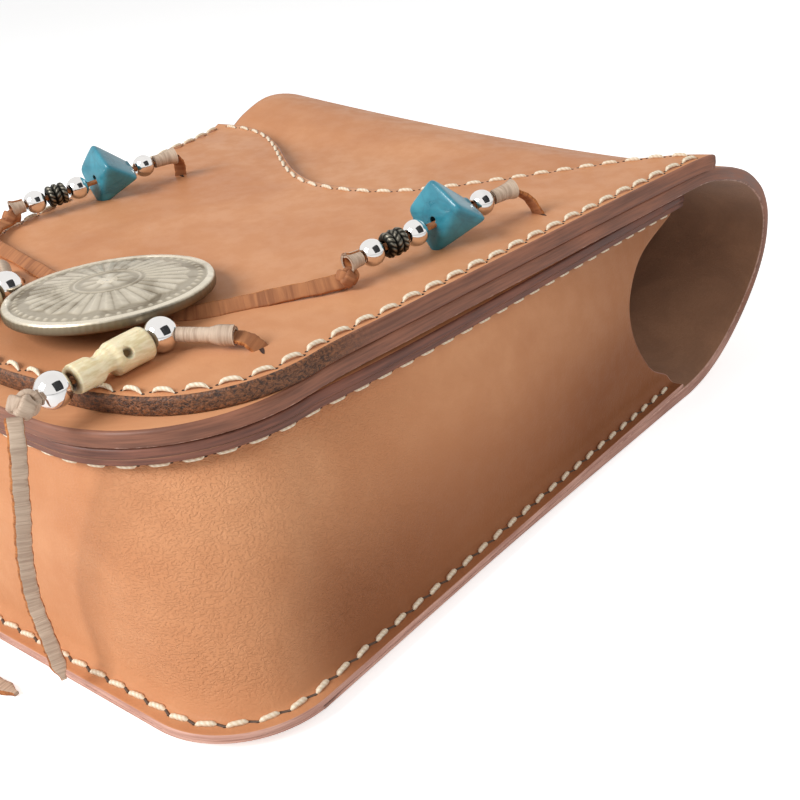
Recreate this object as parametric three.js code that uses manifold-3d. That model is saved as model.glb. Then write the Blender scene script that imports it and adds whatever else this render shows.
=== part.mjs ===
// A flap bag of saddle leather, lying on its back, with a domed disc and four beaded laces on the flap.
// Millimetres, +Z up. +Y runs to the rolled top of the bag, +X to its right-hand side.
// The Y numbers below start at the seam across the bottom of the back panel.
import * as THREE from 'three';
import { mergeVertices } from 'three/addons/utils/BufferGeometryUtils.js';
import Module from 'manifold-3d';

const wasm = await Module();
wasm.setup();

// ---- driving dimensions ----
const wrapThickness = 3.0;          // one sheet: back, roll and flap
const overlayThickness = 3.0;
const frontThickness = 1.8;
const gussetThickness = 1.1;
const gap = 0.3;                    // between neighbours that touch
const backHalfWidth = 61.9;
const backBottom = -4.1;
const backCorner = 20;
const overlayBottom = 8.4;
const overlayCorner = 26.6;
const overlayBulge = 2.6;           // its bottom edge bows out by this much
const flapBottom = 1.5;
const flapCorner = 30.7;
const flapBulge = 0.8;
const frontBottom = 1.2;
const frontCorner = 31.2;
const frontTop = 153;               // free edge of the front panel
const frontBase = 43.4;             // underside of the front seam at Y 0
const liftPivot = 53;               // the top of the bag rises from this X towards -X
const liftSpan = 113;
const liftPower = 1.4;
const discCentre = [5, 30.6];
const discRadius = 19.05;
const discEdge = 2.2;
const discDome = 1.6;
const discStandoff = 2.5;           // room for the lace that runs under the disc
const silverRadius = 2.5;
const bigSilverRadius = 3.05;
const darkRadius = 2.75;
const nuggetLength = 11;
const boneLength = 14.4;
const boneRadius = 2.9;
const laceCore = 0.9;               // the rolled lace inside the beads
const beadBore = 1.25;
const laceWidth = 2.7;
const laceThickness = 1.1;
const beadGap = 0.3;
const hingeStation = 11;            // the row of wrapRows at the outermost line of the roll

// Outer face of the wrap from the back's bottom, over the roll, to the flap's bottom.
// Each row: Y and Z at the right-hand end, Y and Z at the far end, half width.
const wrapRows = [
  [0, 0, 0, 0, 61.9], [45, 0, 45, 0, 61.9], [90, 0, 90, 0, 61.9], [125, 0, 125, 0, 61.9],
  [140, 0, 140, 0, 62.0], [150, 0, 150, 0, 62.3], [159, 1.6, 159, 1.6, 62.9], [167, 5.3, 167, 5.3, 63.7],
  [174, 10.3, 174, 10.3, 64.4], [180, 16.3, 180, 16.3, 65.1], [184.5, 22.8, 184.5, 22.8, 65.7],
  [186.5, 29.5, 186.5, 29.5, 66.2],
  [185.2, 37.3, 185.8, 37.6, 66.8], [180.3, 43.9, 183, 46.3, 67.4], [173.5, 48.7, 176.9, 55, 68.1],
  [165.8, 52.6, 168.4, 62.1, 68.9], [157.5, 55.6, 158.9, 66.3, 69.7], [149, 58, 149, 67.5, 70.3],
  [140, 59.5, 138.5, 65.4, 69.7], [126, 58.5, 126, 61.7, 67.1], [108, 57.3, 108, 60.9, 64],
  [90, 56.1, 90, 60.1, 61], [72, 54.9, 72, 59.2, 57.9], [54, 53.65, 54, 58.25, 54.8],
  [36, 52.45, 36, 57.05, 51.8], [18, 51.2, 18, 55.8, 51], [0, 50, 0, 54.6, 51], [-18, 48.8, -18, 53.4, 51],
];

// ---- shared shape functions ----
const clamp = (value, low, high) => Math.min(high, Math.max(low, value));
const mix = (a, b, part) => a + (b - a) * part;
const lift = (x) => Math.pow(Math.max(0, (liftPivot - x) / liftSpan), liftPower);

// Catmull-Rom through the rows: (p1 + p1 + (p2 - p0) t + ...) / 2, one column at a time.
function wrapRow(station) {
  const last = wrapRows.length - 1;
  const index = clamp(Math.floor(station), 0, last - 1);
  const t = station - index;
  const pick = (i) => wrapRows[clamp(i, 0, last)];
  const [a, b, c, d] = [pick(index - 1), pick(index), pick(index + 1), pick(index + 2)];
  return b.map((_, k) => 0.5 * (2 * b[k] + (c[k] - a[k]) * t
    + (2 * a[k] - 5 * b[k] + 4 * c[k] - d[k]) * t * t + (3 * b[k] - a[k] - 3 * c[k] + d[k]) * t * t * t));
}

// A point on the wrap's outer face, pushed out along its normal by offset.
function wrapPoint(x, station, offset) {
  const at = (s) => {
    const [yNear, zNear, yFar, zFar] = wrapRow(clamp(s, 0, wrapRows.length - 1));
    const part = lift(x);
    return [mix(yNear, yFar, part), Math.max(0, mix(zNear, zFar, part))];
  };
  const step = 0.02;
  const [before, here, after] = [at(station - step), at(station), at(station + step)];
  const [dy, dz] = [after[0] - before[0], after[1] - before[1]];
  const length = Math.hypot(dy, dz) || 1;
  return [x, here[0] + offset * dz / length, here[1] - offset * dy / length];
}

// The station on the flap whose Y is the one asked for (Y falls as the station grows).
function flapStation(y) {
  let [low, high] = [17, wrapRows.length - 1];
  for (let i = 0; i < 30; i += 1) {
    const middle = (low + high) / 2;
    if (wrapRow(middle)[0] > y) low = middle;
    else high = middle;
  }
  return (low + high) / 2;
}

// Height of the overlay's upper face under a bead or the disc.
const overlayTopAt = (x, y) => wrapPoint(x, flapStation(y), gap + overlayThickness)[2];

// Half width left at a distance from the bottom edge, where the corner is an arc.
function cornered(halfWidth, distance, radius) {
  if (distance >= radius) return halfWidth;
  const rise = radius - Math.max(0, distance);
  return halfWidth - radius + Math.sqrt(radius * radius - rise * rise);
}

// 0 to 1, closer together at the start, so that the rounded corners come out smooth.
const eased = (part) => 1 - Math.cos(part * Math.PI / 2);

// A closed sheet between two faces given on a grid; u and v run from 0 to 1.
function sheet(columns, rows, outer, inner) {
  const positions = [];
  const indices = [];
  for (const face of [outer, inner]) {
    for (let j = 0; j <= rows; j += 1) {
      for (let i = 0; i <= columns; i += 1) positions.push(...face(i / columns, j / rows));
    }
  }
  const layer = (columns + 1) * (rows + 1);
  const id = (i, j, k) => k * layer + j * (columns + 1) + i;
  const quad = (a, b, c, d) => indices.push(a, b, c, a, c, d);
  for (let j = 0; j < rows; j += 1) {
    for (let i = 0; i < columns; i += 1) {
      quad(id(i, j, 0), id(i + 1, j, 0), id(i + 1, j + 1, 0), id(i, j + 1, 0));
      quad(id(i, j, 1), id(i, j + 1, 1), id(i + 1, j + 1, 1), id(i + 1, j, 1));
    }
  }
  for (let i = 0; i < columns; i += 1) {
    quad(id(i, 0, 1), id(i + 1, 0, 1), id(i + 1, 0, 0), id(i, 0, 0));
    quad(id(i, rows, 0), id(i + 1, rows, 0), id(i + 1, rows, 1), id(i, rows, 1));
  }
  for (let j = 0; j < rows; j += 1) {
    quad(id(0, j, 0), id(0, j + 1, 0), id(0, j + 1, 1), id(0, j, 1));
    quad(id(columns, j, 1), id(columns, j + 1, 1), id(columns, j + 1, 0), id(columns, j, 0));
  }
  const geometry = new THREE.BufferGeometry();
  geometry.setAttribute('position', new THREE.Float32BufferAttribute(positions, 3));
  geometry.setIndex(indices);
  return facingOut(geometry);
}

// Turns every triangle round if the closed shape has a negative volume.
function facingOut(geometry) {
  const p = geometry.attributes.position;
  const index = geometry.index;
  const [a, b, c] = [new THREE.Vector3(), new THREE.Vector3(), new THREE.Vector3()];
  let volume = 0;
  for (let i = 0; i < index.count; i += 3) {
    a.fromBufferAttribute(p, index.getX(i));
    b.fromBufferAttribute(p, index.getX(i + 1));
    c.fromBufferAttribute(p, index.getX(i + 2));
    volume += a.dot(b.cross(c));
  }
  if (volume < 0) {
    for (let i = 0; i < index.count; i += 3) {
      const second = index.getX(i + 1);
      index.setX(i + 1, index.getX(i + 2));
      index.setX(i + 2, second);
    }
  }
  return geometry;
}

function toSolid(geometry) {
  const bare = geometry.clone();
  bare.deleteAttribute('normal');
  bare.deleteAttribute('uv');
  const merged = mergeVertices(bare, 1e-4);
  return new wasm.Manifold(new wasm.Mesh({
    numProp: 3,
    vertProperties: new Float32Array(merged.attributes.position.array),
    triVerts: new Uint32Array(merged.index.array),
  }));
}

function cut(geometry, ...cutters) {
  let solid = toSolid(geometry);
  for (const cutter of cutters) solid = solid.subtract(toSolid(cutter));
  const mesh = solid.getMesh();
  const result = new THREE.BufferGeometry();
  result.setAttribute('position', new THREE.Float32BufferAttribute(mesh.vertProperties, 3));
  result.setIndex(Array.from(mesh.triVerts));
  return result;
}

const leather = { color: 0xcd9673, roughness: 0.55, metalness: 0 };
const laceTan = { color: 0xa8744a, roughness: 0.8, metalness: 0 };
const laceGrey = { color: 0xbeb0a0, roughness: 0.7, metalness: 0 };
const silver = { color: 0xd8d8da, roughness: 0.12, metalness: 1 };
const agedSilver = { color: 0x9a968c, roughness: 0.35, metalness: 1 };
const darkSilver = { color: 0x4c4a44, roughness: 0.45, metalness: 0.9 };
const turquoise = { color: 0x3d8fae, roughness: 0.2, metalness: 0 };
const bone = { color: 0xdccda0, roughness: 0.5, metalness: 0 };

const bag = new THREE.Group();
const cordNames = [];

function place(name, geometry, finish) {
  const mesh = new THREE.Mesh(geometry, new THREE.MeshStandardMaterial(finish));
  mesh.name = name;
  bag.add(mesh);
  return mesh;
}

// A shape built along +Y, turned to run along direction with its own +Z as upright as it can be.
function placeAlong(name, geometry, finish, at, direction) {
  const mesh = place(name, geometry, finish);
  const upright = Math.abs(direction.z) > 0.9 ? new THREE.Vector3(0, 1, 0) : new THREE.Vector3(0, 0, 1);
  const across = direction.clone().cross(upright).normalize();
  const up = across.clone().cross(direction);
  mesh.position.copy(at);
  mesh.quaternion.setFromRotationMatrix(new THREE.Matrix4().makeBasis(across, direction, up));
  return mesh;
}

// ---- back panel, with the lower half of the roll ----
function backPanel() {
  const cornerRows = 0.28;          // the share of the rows that the rounded corners take
  const cornerTop = backBottom + backCorner;
  const firstStation = cornerTop / wrapRows[1][0];
  const face = (offset) => (u, v) => {
    const side = 2 * u - 1;
    if (v < cornerRows) {
      const y = mix(backBottom, cornerTop, eased(v / cornerRows));
      return [side * cornered(backHalfWidth, y - backBottom, backCorner), y, -offset];
    }
    const station = mix(firstStation, hingeStation, (v - cornerRows) / (1 - cornerRows));
    return wrapPoint(side * wrapRow(station)[4], station, offset);
  };
  return sheet(12, 26, face(0), face(-wrapThickness));
}

// ---- flap, with the upper half of the roll ----
function flapPanel() {
  const cornerRows = 0.3;
  const cornerTop = flapStation(flapBottom + flapCorner);
  const hingeGap = 0.045;           // in stations: the 0.3 mm left at the hinge line
  const face = (offset) => (u, v) => {
    const side = 2 * u - 1;
    if (v < cornerRows) {
      const y = mix(flapBottom, flapBottom + flapCorner, eased(v / cornerRows));
      const x = side * cornered(wrapRow(cornerTop)[4], y - flapBottom, flapCorner);
      const bow = flapBulge * Math.max(0, 1 - (x / 30) ** 2) * (1 - v / cornerRows);
      return wrapPoint(x, flapStation(y - bow), offset);
    }
    const station = mix(cornerTop, hingeStation + hingeGap, (v - cornerRows) / (1 - cornerRows));
    return wrapPoint(side * wrapRow(station)[4], station, offset);
  };
  return sheet(12, 27, face(0), face(-wrapThickness));
}

// ---- overlay stitched on the flap; its top edge sags between two raised tips ----
function overlayTop(x) {
  const from = x - 4;
  const swell = Math.sin(Math.PI / 2 * clamp(Math.abs(from) / 68, 0, 1)) ** 2.4;
  return 99.5 + 36 * swell + 0.09 * from;
}

function overlayPanel() {
  const cornerRows = 0.34;
  const cornerHeight = overlayBottom + overlayCorner;
  const cornerWidth = wrapRow(flapStation(cornerHeight))[4];
  const face = (offset) => (u, v) => {
    const side = 2 * u - 1;
    if (v < cornerRows) {
      const y = mix(overlayBottom, cornerHeight, eased(v / cornerRows));
      const x = side * cornered(cornerWidth, y - overlayBottom, overlayCorner);
      const bow = overlayBulge * Math.max(0, 1 - (x / 30) ** 2) * (1 - v / cornerRows);
      return wrapPoint(x, flapStation(y - bow), offset);
    }
    const part = (v - cornerRows) / (1 - cornerRows);
    const station = mix(flapStation(cornerHeight), flapStation(overlayTop(side * 70)), part);
    return wrapPoint(side * (wrapRow(station)[4] + 1.2 * part ** 8), station, offset);
  };
  return sheet(14, 19, face(gap + overlayThickness), face(gap));
}

// ---- front panel and gusset ----
// Underside of the front seam: a shallow crown along Y, raised towards -X like the flap.
function frontHeight(x, y) {
  const crown = frontBase + 0.0674 * y - 0.000311 * y * y;
  return crown + lift(x) * mix(4.6, 3.2, clamp((y - 54) / 72, 0, 1));
}

const frontHalfWidth = (y) => 51.6 + 7.6 * (1 - Math.exp(-Math.max(0, y - 32.5) / 42));

function frontPanel() {
  const cornerRows = 0.36;
  const cornerHeight = frontBottom + frontCorner;
  const face = (extra) => (u, v) => {
    const side = 2 * u - 1;
    const y = v < cornerRows
      ? mix(frontBottom, cornerHeight, eased(v / cornerRows))
      : mix(cornerHeight, frontTop, (v - cornerRows) / (1 - cornerRows));
    const x = side * cornered(frontHalfWidth(y), y - frontBottom, frontCorner);
    return [x, y, frontHeight(x, y) + extra];
  };
  const under = gussetThickness + gap;
  return sheet(10, 16, face(under + frontThickness), face(under));
}

// The wall's path round the bag at one height: down one side, round both corners and up the other.
// part runs 0 to 1; end is where the side stops; returns the point and the outward direction.
function wallPath(part, halfWidthAt, bottom, radius, end) {
  const mirror = part < 0.5 ? -1 : 1;
  const half = Math.abs(part - 0.5) * 2;          // 0 at the middle of the bottom, 1 at the free end
  const centreY = bottom + radius;
  const centreX = halfWidthAt(centreY) - radius;
  if (half < 0.18) return [mirror * centreX * half / 0.18, bottom, 0, -1];
  if (half < 0.5) {
    const angle = (half - 0.18) / 0.32 * Math.PI / 2;
    const [sin, cos] = [Math.sin(angle), Math.cos(angle)];
    return [mirror * (centreX + radius * sin), centreY - radius * cos, mirror * sin, -cos];
  }
  const y = mix(centreY, end, (half - 0.5) / 0.5);
  return [mirror * halfWidthAt(y), y, mirror, 0];
}

// The free ends are scooped: where each height's end lies, from the back seam (0) to the front seam (1).
function gussetEnd(height) {
  const ends = [147.5, 138, 131.5, 127.8, 128.2, 135, 152.5];
  const at = clamp(height, 0, 1) * (ends.length - 1);
  const index = Math.min(ends.length - 2, Math.floor(at));
  const t = at - index;
  const smooth = t * t * (3 - 2 * t);
  return mix(ends[index], ends[index + 1], mix(t, smooth, 0.35));
}

function gusset() {
  const seamLow = wrapThickness + gap;
  const baseRadius = 16;
  const baseInset = 3.5;
  const topInset = 2.2;
  // across the section: height share, inset from the seam line, and Z above the seam's own level
  const section = [
    [0, -3.3, 0], [0, -0.6, 0], [0.02, 0.5, 0.9], [0.12, 0.3, 0], [0.3, -0.4, 0], [0.5, -0.9, 0],
    [0.7, -0.7, 0], [0.88, 0, 0], [0.98, 0.3, -0.9], [1, -0.5, 0], [1, -2.1, 0],
  ];
  const face = (inside) => (u, v) => {
    const [height, inset, step] = section[Math.round(u * (section.length - 1))];
    const end = gussetEnd(height);
    const low = wallPath(v, () => backHalfWidth - baseInset, backBottom + baseInset, baseRadius, end);
    const high = wallPath(v, (y) => frontHalfWidth(y) - topInset, frontBottom + topInset,
      frontCorner - topInset, end);
    const blend = [0, 1, 2, 3].map((k) => mix(low[k], high[k], height));
    const flange = height === 0 || height === 1;
    const inward = inset + (inside && !flange ? gussetThickness : 0);
    const x = blend[0] - blend[2] * inward;
    const y = blend[1] - blend[3] * inward;
    const base = seamLow + gussetThickness;
    let z = mix(base, frontHeight(x, y), height) + step;
    if (inside && height === 0) z = seamLow;
    if (inside && height === 1) z = frontHeight(x, y) + gussetThickness;
    return [x, y, z];
  };
  return sheet(section.length - 1, 40, face(false), face(true));
}

// ---- disc, its post and the snap hidden behind it; the disc lies level on the sloping flap ----
function lathed(profile, segments) {
  const points = profile.map(([r, h]) => new THREE.Vector2(r, h));
  points.push(points[0].clone());
  return facingOut(mergeVertices(stripped(new THREE.LatheGeometry(points, segments)), 1e-4));
}

function stripped(geometry) {
  geometry.deleteAttribute('normal');
  geometry.deleteAttribute('uv');
  return geometry;
}

function discProfile() {
  const dome = Array.from({ length: 6 }, (_, i) => {
    const r = (discRadius - 1) * (1 - i / 5);
    return [Math.max(r, 0), discEdge - 0.4 + discDome * (1 - (r / (discRadius - 1)) ** 2)];
  });
  return [[0, 0], [discRadius - 0.5, 0], [discRadius, 0.5], [discRadius, discEdge - 0.3],
    [discRadius - 0.4, discEdge], ...dome];
}

const flapNormal = new THREE.Vector3(0.04, -0.066, 1).normalize();
const discSeat = new THREE.Vector3(discCentre[0], discCentre[1], overlayTopAt(...discCentre));
const leatherStack = wrapThickness + gap + overlayThickness;
const postRadius = 2.0;
const socketRadius = 5;
const socketHeight = 2.3;
const stackBottom = discSeat.clone().addScaledVector(flapNormal, -leatherStack);
const hole = (radius, length, at) => {
  const drill = stripped(new THREE.CylinderGeometry(radius, radius, length, 20));
  const turn = new THREE.Quaternion().setFromUnitVectors(new THREE.Vector3(0, 1, 0), flapNormal);
  drill.applyQuaternion(turn);
  drill.translate(at.x, at.y, at.z);
  return drill;
};

place('back_panel', backPanel(), leather);
place('gusset', gusset(), leather);
const studHole = hole(postRadius + gap, 30, stackBottom);
place('front_panel', cut(frontPanel(), studHole), leather);
const socketHole = hole(socketRadius + gap, 2 * (socketHeight + gap), stackBottom);
place('flap_panel', cut(flapPanel(), socketHole, hole(postRadius + gap, 30, stackBottom)), leather);
place('overlay_panel', cut(overlayPanel(), hole(postRadius + gap, 30, discSeat)), leather);

placeAlong('concho_disc', lathed(discProfile(), 32), agedSilver,
  discSeat.clone().addScaledVector(flapNormal, discStandoff), new THREE.Vector3(0, 0, 1));
const postLength = leatherStack - socketHeight + discStandoff - 2 * gap;
placeAlong('concho_post', lathed([[0, 0], [postRadius, 0], [postRadius, postLength], [0, postLength]], 20),
  agedSilver, stackBottom.clone().addScaledVector(flapNormal, socketHeight + gap), flapNormal);
const wellRadius = 2.5;
placeAlong('snap_socket', lathed([[0, 0.9], [wellRadius, 0.9], [wellRadius, 0], [socketRadius, 0],
  [socketRadius, socketHeight], [0, socketHeight]].map(([r, h]) => [r, h]), 24), darkSilver,
  stackBottom.clone(), flapNormal);

// The stud stands on a washer under the front panel and reaches up into the socket.
const frontUnderside = frontHeight(...discCentre) + gussetThickness + gap;
const studTop = stackBottom.z + 0.9 - gap;
placeAlong('snap_stud', lathed([[0, -1.2 - gap], [socketRadius, -1.2 - gap], [socketRadius, -gap - 0.35],
  [postRadius - 0.2, -gap - 0.2], [postRadius - 0.2, studTop - frontUnderside], [0, studTop - frontUnderside]],
24), darkSilver, new THREE.Vector3(stackBottom.x, stackBottom.y, frontUnderside), new THREE.Vector3(0, 0, 1));

// ---- beads and laces ----
function boredBall(radius) {
  const start = Math.asin(beadBore / radius);
  const arc = Array.from({ length: 7 }, (_, i) => {
    const angle = mix(start, Math.PI - start, i / 6);
    return [radius * Math.sin(angle), radius * Math.cos(angle)];
  });
  return lathed(arc, 10);
}

// A short barrel with a flat rope-like waist on each side.
function darkBead() {
  return lathed([[beadBore, 2.2], [1.9, 2.3], [2.6, 1.6], [darkRadius, 0.5], [darkRadius, -0.5],
    [2.6, -1.6], [1.9, -2.3], [beadBore, -2.2]], 10);
}

// A rounded three-sided stone that narrows towards the top of its string, with a bore along it.
function nugget() {
  const corners = [[-0.2, 7.4], [-8.6, 0.8], [-1.8, -5.7], [5.4, -0.4]];
  const outline = (angle) => {
    const turn = ((angle / (2 * Math.PI)) % 1 + 1) % 1 * corners.length;
    const index = Math.floor(turn);
    const t = turn - index;
    const get = (k) => corners[(index + k + corners.length) % corners.length];
    return [0, 1].map((k) => (get(-1)[k] * (1 - t) ** 3 + get(0)[k] * (3 * t ** 3 - 6 * t * t + 4)
      + get(1)[k] * (-3 * t ** 3 + 3 * t * t + 3 * t + 1) + get(2)[k] * t ** 3) / 6 * 1.28);
  };
  const rings = [[0, 0.55, 0], [0.05, 0.8, 0], [0.16, 0.97, 0], [0.36, 1, 0], [0.6, 0.86, 0.4],
    [0.82, 0.66, 0.8], [0.94, 0.5, 1], [1, 0.3, 1.1]];
  const sides = 16;
  const positions = [];
  for (const [along, size, rise] of rings) {
    for (let i = 0; i < sides; i += 1) {
      const [x, z] = outline(i / sides * 2 * Math.PI);
      positions.push(x * size, nuggetLength * (0.5 - along), z * size + rise);
    }
  }
  const indices = [];
  for (let j = 0; j < rings.length - 1; j += 1) {
    for (let i = 0; i < sides; i += 1) {
      const [a, b] = [j * sides + i, j * sides + (i + 1) % sides];
      indices.push(a, b, b + sides, a, b + sides, a + sides);
    }
  }
  const top = (rings.length - 1) * sides;
  for (let i = 1; i < sides - 1; i += 1) {
    indices.push(0, i + 1, i, top, top + i, top + i + 1);
  }
  const geometry = new THREE.BufferGeometry();
  geometry.setAttribute('position', new THREE.Float32BufferAttribute(positions, 3));
  geometry.setIndex(indices);
  const bore = stripped(new THREE.CylinderGeometry(1.8, 1.8, 3 * nuggetLength, 10));
  return cut(facingOut(geometry), bore.translate(0, 0, 0.6));
}

// A flat strip of lace through the points; up is the direction of its face.
function laceStrip(points, up, width, thickness) {
  const curve = new THREE.CatmullRomCurve3(points.map((p) => new THREE.Vector3(...p)));
  const face = (side) => (u, v) => {
    const at = curve.getPoint(v);
    const across = curve.getTangent(v).cross(up).normalize();
    const normal = across.clone().cross(curve.getTangent(v)).normalize();
    return at.addScaledVector(across, (u - 0.5) * width).addScaledVector(normal, side * thickness / 2).toArray();
  };
  return sheet(1, 4 * (points.length - 1), face(1), face(-1));
}

function rod(radius, length) {
  return lathed([[0, -length / 2], [radius, -length / 2], [radius, length / 2], [0, length / 2]], 8);
}

// A sleeve of rolled lace, open along its middle, that flares towards its free end.
const sleeve = (length, flare) => lathed([[beadBore, 0], [1.75, 0], [1.8, length * 0.55], [flare, length],
  [flare - 0.5, length], [beadBore, length * 0.55]], 10);

function knot(radius) {
  const shape = stripped(new THREE.IcosahedronGeometry(radius, 1));
  shape.scale(1, 0.75, 0.8);
  return mergeVertices(shape, 1e-4);
}

// The beads of one string, set one after another along its axis from the first one's centre.
function thread(prefix, first, direction, beads) {
  let reach = 0;
  beads.forEach(([name, geometry, finish, halfLength], index) => {
    if (index > 0) reach += beads[index - 1][3] + beadGap + halfLength;
    placeAlong(`${prefix}_${name}`, geometry, finish, first.clone().addScaledVector(direction, reach),
      direction);
  });
  return first.clone().addScaledVector(direction, reach);
}

function turquoiseString(prefix, firstBall, lastBall, slit, bridge) {
  const first = new THREE.Vector3(...firstBall);
  const direction = new THREE.Vector3(...lastBall).sub(first).normalize();
  const last = thread(prefix, first, direction, [
    ['silver_1', boredBall(silverRadius), silver, silverRadius],
    ['turquoise', nugget(), turquoise, nuggetLength / 2],
    ['silver_2', boredBall(silverRadius), silver, silverRadius],
    ['dark_bead', darkBead(), darkSilver, 2.3],
    ['silver_3', boredBall(silverRadius), silver, silverRadius],
  ]);
  const coreLength = first.distanceTo(last) + 2 * silverRadius + 3;
  placeAlong(`${prefix}_string_lace`, rod(laceCore, coreLength), laceTan,
    first.clone().lerp(last, 0.5), direction);
  const back = direction.clone().negate();
  placeAlong(`${prefix}_top_sleeve`, sleeve(5.4, 2.6), laceGrey,
    first.clone().addScaledVector(back, silverRadius + beadGap), back);
  const foldStart = first.clone().addScaledVector(back, silverRadius + 6.6);
  const slitEnd = [slit[0], slit[1], overlayTopAt(...slit) + 0.9];
  const middle = foldStart.clone().lerp(new THREE.Vector3(...slitEnd), 0.55).add(new THREE.Vector3(0, 0.6, 0.4));
  place(`${prefix}_top_fold`, laceStrip([foldStart.toArray(), middle.toArray(), slitEnd],
    new THREE.Vector3(0, 0.3, 1), laceWidth, laceThickness), laceTan);
  placeAlong(`${prefix}_bottom_sleeve`, sleeve(3.8, 2.2), laceGrey,
    last.clone().addScaledVector(direction, silverRadius + beadGap), direction);
  const knotAt = last.clone().addScaledVector(direction, silverRadius + 6.6);
  knotAt.z = overlayTopAt(knotAt.x, knotAt.y) + 2;
  const tied = place(`${prefix}_bottom_knot`, knot(2.1), laceTan);
  tied.position.copy(knotAt);
  const path = bridge.map(([x, y, height]) => [x, y, overlayTopAt(x, y) + height]);
  place(`${prefix}_bridge_lace`, laceStrip(path, new THREE.Vector3(0, 0.1, 1), laceWidth, laceThickness),
    laceTan);
}

turquoiseString('near', [47.6, 87.4, 64.9], [41.4, 61.9, 62.4], [53, 99.3],
  [[36.6, 51.4, 1.5], [33, 47.6, 1.3], [28.2, 42.6, 0.9], [20.5, 34, 0.8], [9.4, 31.4, 0.8]]);
turquoiseString('far', [-43.4, 80.4, 67.3], [-51.0, 54.9, 65.0], [-43, 90.5],
  [[-50.6, 43.6, 1.6], [-44.6, 38.8, 1.3], [-32, 36.5, 0.9], [-14, 33, 0.8], [0.6, 31.2, 0.8]]);

// A carved tube: a notch half way on two sides and one drilled hole.
function boneBead() {
  const outline = [[beadBore, -boneLength / 2], [boneRadius - 0.3, -boneLength / 2],
    [boneRadius, -boneLength / 2 + 0.4], [boneRadius, boneLength / 2 - 0.4],
    [boneRadius - 0.3, boneLength / 2], [beadBore, boneLength / 2]];
  const notch = (side) => {
    const shape = stripped(new THREE.CylinderGeometry(1.5, 1.5, 12, 12));
    shape.rotateZ(Math.PI / 2);
    return shape.translate(0, 0.6, side * (boneRadius + 0.95));
  };
  const drilled = stripped(new THREE.CylinderGeometry(0.95, 0.95, 6, 12));
  drilled.rotateZ(Math.PI / 2).translate(-4, -2.2, 0).rotateY(0.7);
  return cut(lathed(outline, 14), notch(1), notch(-1), drilled);
}

function boneString(prefix, firstBall, lastBall, slit, tail) {
  const first = new THREE.Vector3(...firstBall);
  const direction = new THREE.Vector3(...lastBall).sub(first).normalize();
  const last = thread(prefix, first, direction, [
    ['silver_1', boredBall(bigSilverRadius), silver, bigSilverRadius],
    ['bone_bead', boneBead(), bone, boneLength / 2],
    ['silver_2', boredBall(bigSilverRadius), silver, bigSilverRadius],
  ]);
  const coreLength = first.distanceTo(last) + 2 * bigSilverRadius + 1.6;
  placeAlong(`${prefix}_string_lace`, rod(laceCore, coreLength), laceTan,
    first.clone().lerp(last, 0.5), direction);
  const rise = new THREE.Vector3(slit[0], slit[1], overlayTopAt(...slit) + 2.2).sub(first).normalize();
  placeAlong(`${prefix}_top_sleeve`, sleeve(9.2, 2.2), laceGrey,
    first.clone().addScaledVector(rise, bigSilverRadius + 0.8), rise);
  const foldStart = first.clone().addScaledVector(rise, bigSilverRadius + 10.8);
  const slitEnd = [slit[0], slit[1], overlayTopAt(...slit) + 0.9];
  place(`${prefix}_top_fold`, laceStrip([foldStart.toArray(), slitEnd], new THREE.Vector3(0, -0.2, 1),
    laceWidth, laceThickness), laceTan);
  const tied = place(`${prefix}_bottom_knot`, knot(2.4), laceGrey);
  tied.position.copy(last.clone().addScaledVector(direction, bigSilverRadius + 3.0));
  tailLace(`${prefix}_tail`, tail);
}

// The free end of a lace, hanging from the knot: a flat tube with eight sides.
function tailLace(name, points) {
  const curve = new THREE.CatmullRomCurve3(points.map((p) => new THREE.Vector3(...p)));
  const sides = 8;
  const section = new THREE.Shape(Array.from({ length: sides }, (_, i) => {
    const angle = (i + 0.5) / sides * 2 * Math.PI;
    return new THREE.Vector2(0.65 * Math.sin(angle), laceWidth / 2 * Math.cos(angle));
  }));
  const steps = Math.round(curve.getLength() / 4);
  const tube = new THREE.ExtrudeGeometry(section, { steps, bevelEnabled: false, extrudePath: curve });
  place(name, mergeVertices(stripped(tube), 1e-4), laceGrey);
  cordNames.push(name);
}

// Routes of the two free ends.
const nearTail = [[26.6, -6.5, 54.0], [26.8, -7.4, 50], [25.8, -7.7, 46], [24.4, -7.6, 41], [22.3, -7.5, 35],
  [20.9, -7.4, 29.5], [20, -7.3, 22], [21, -7.2, 14.5], [22.6, -7.3, 6.8]];
const farTail = [[-16, -6.6, 55.6], [-16.4, -7.6, 52], [-17, -8, 45], [-17.6, -8.2, 36], [-18, -8.4, 27],
  [-17.8, -8.6, 18], [-16.6, -9, 10], [-13.4, -9.6, 4.4], [-8.6, -10.2, 1.6], [-2, -10.8, 0.8], [4, -11, 0.75],
  [11, -10.6, 0.75]];
boneString('near_bone', [26.8, 23.4, 58.5], [25.9, 2.3, 57.2], [41.7, 31.5], nearTail);
boneString('far_bone', [-16.6, 23.4, 60.5], [-15.7, 2.3, 59.3], [-31.5, 31.5], farTail);

// The origin is the middle of the underside, measured without the free ends.
const extent = new THREE.Box3();
bag.updateMatrixWorld(true);
for (const mesh of bag.children) {
  if (!cordNames.includes(mesh.name)) extent.expandByObject(mesh, true);
}
bag.position.set(-(extent.min.x + extent.max.x) / 2, -(extent.min.y + extent.max.y) / 2, -extent.min.z);

export default bag;
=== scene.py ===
import bpy
import numpy as np
from mathutils import Matrix, Vector


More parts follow.
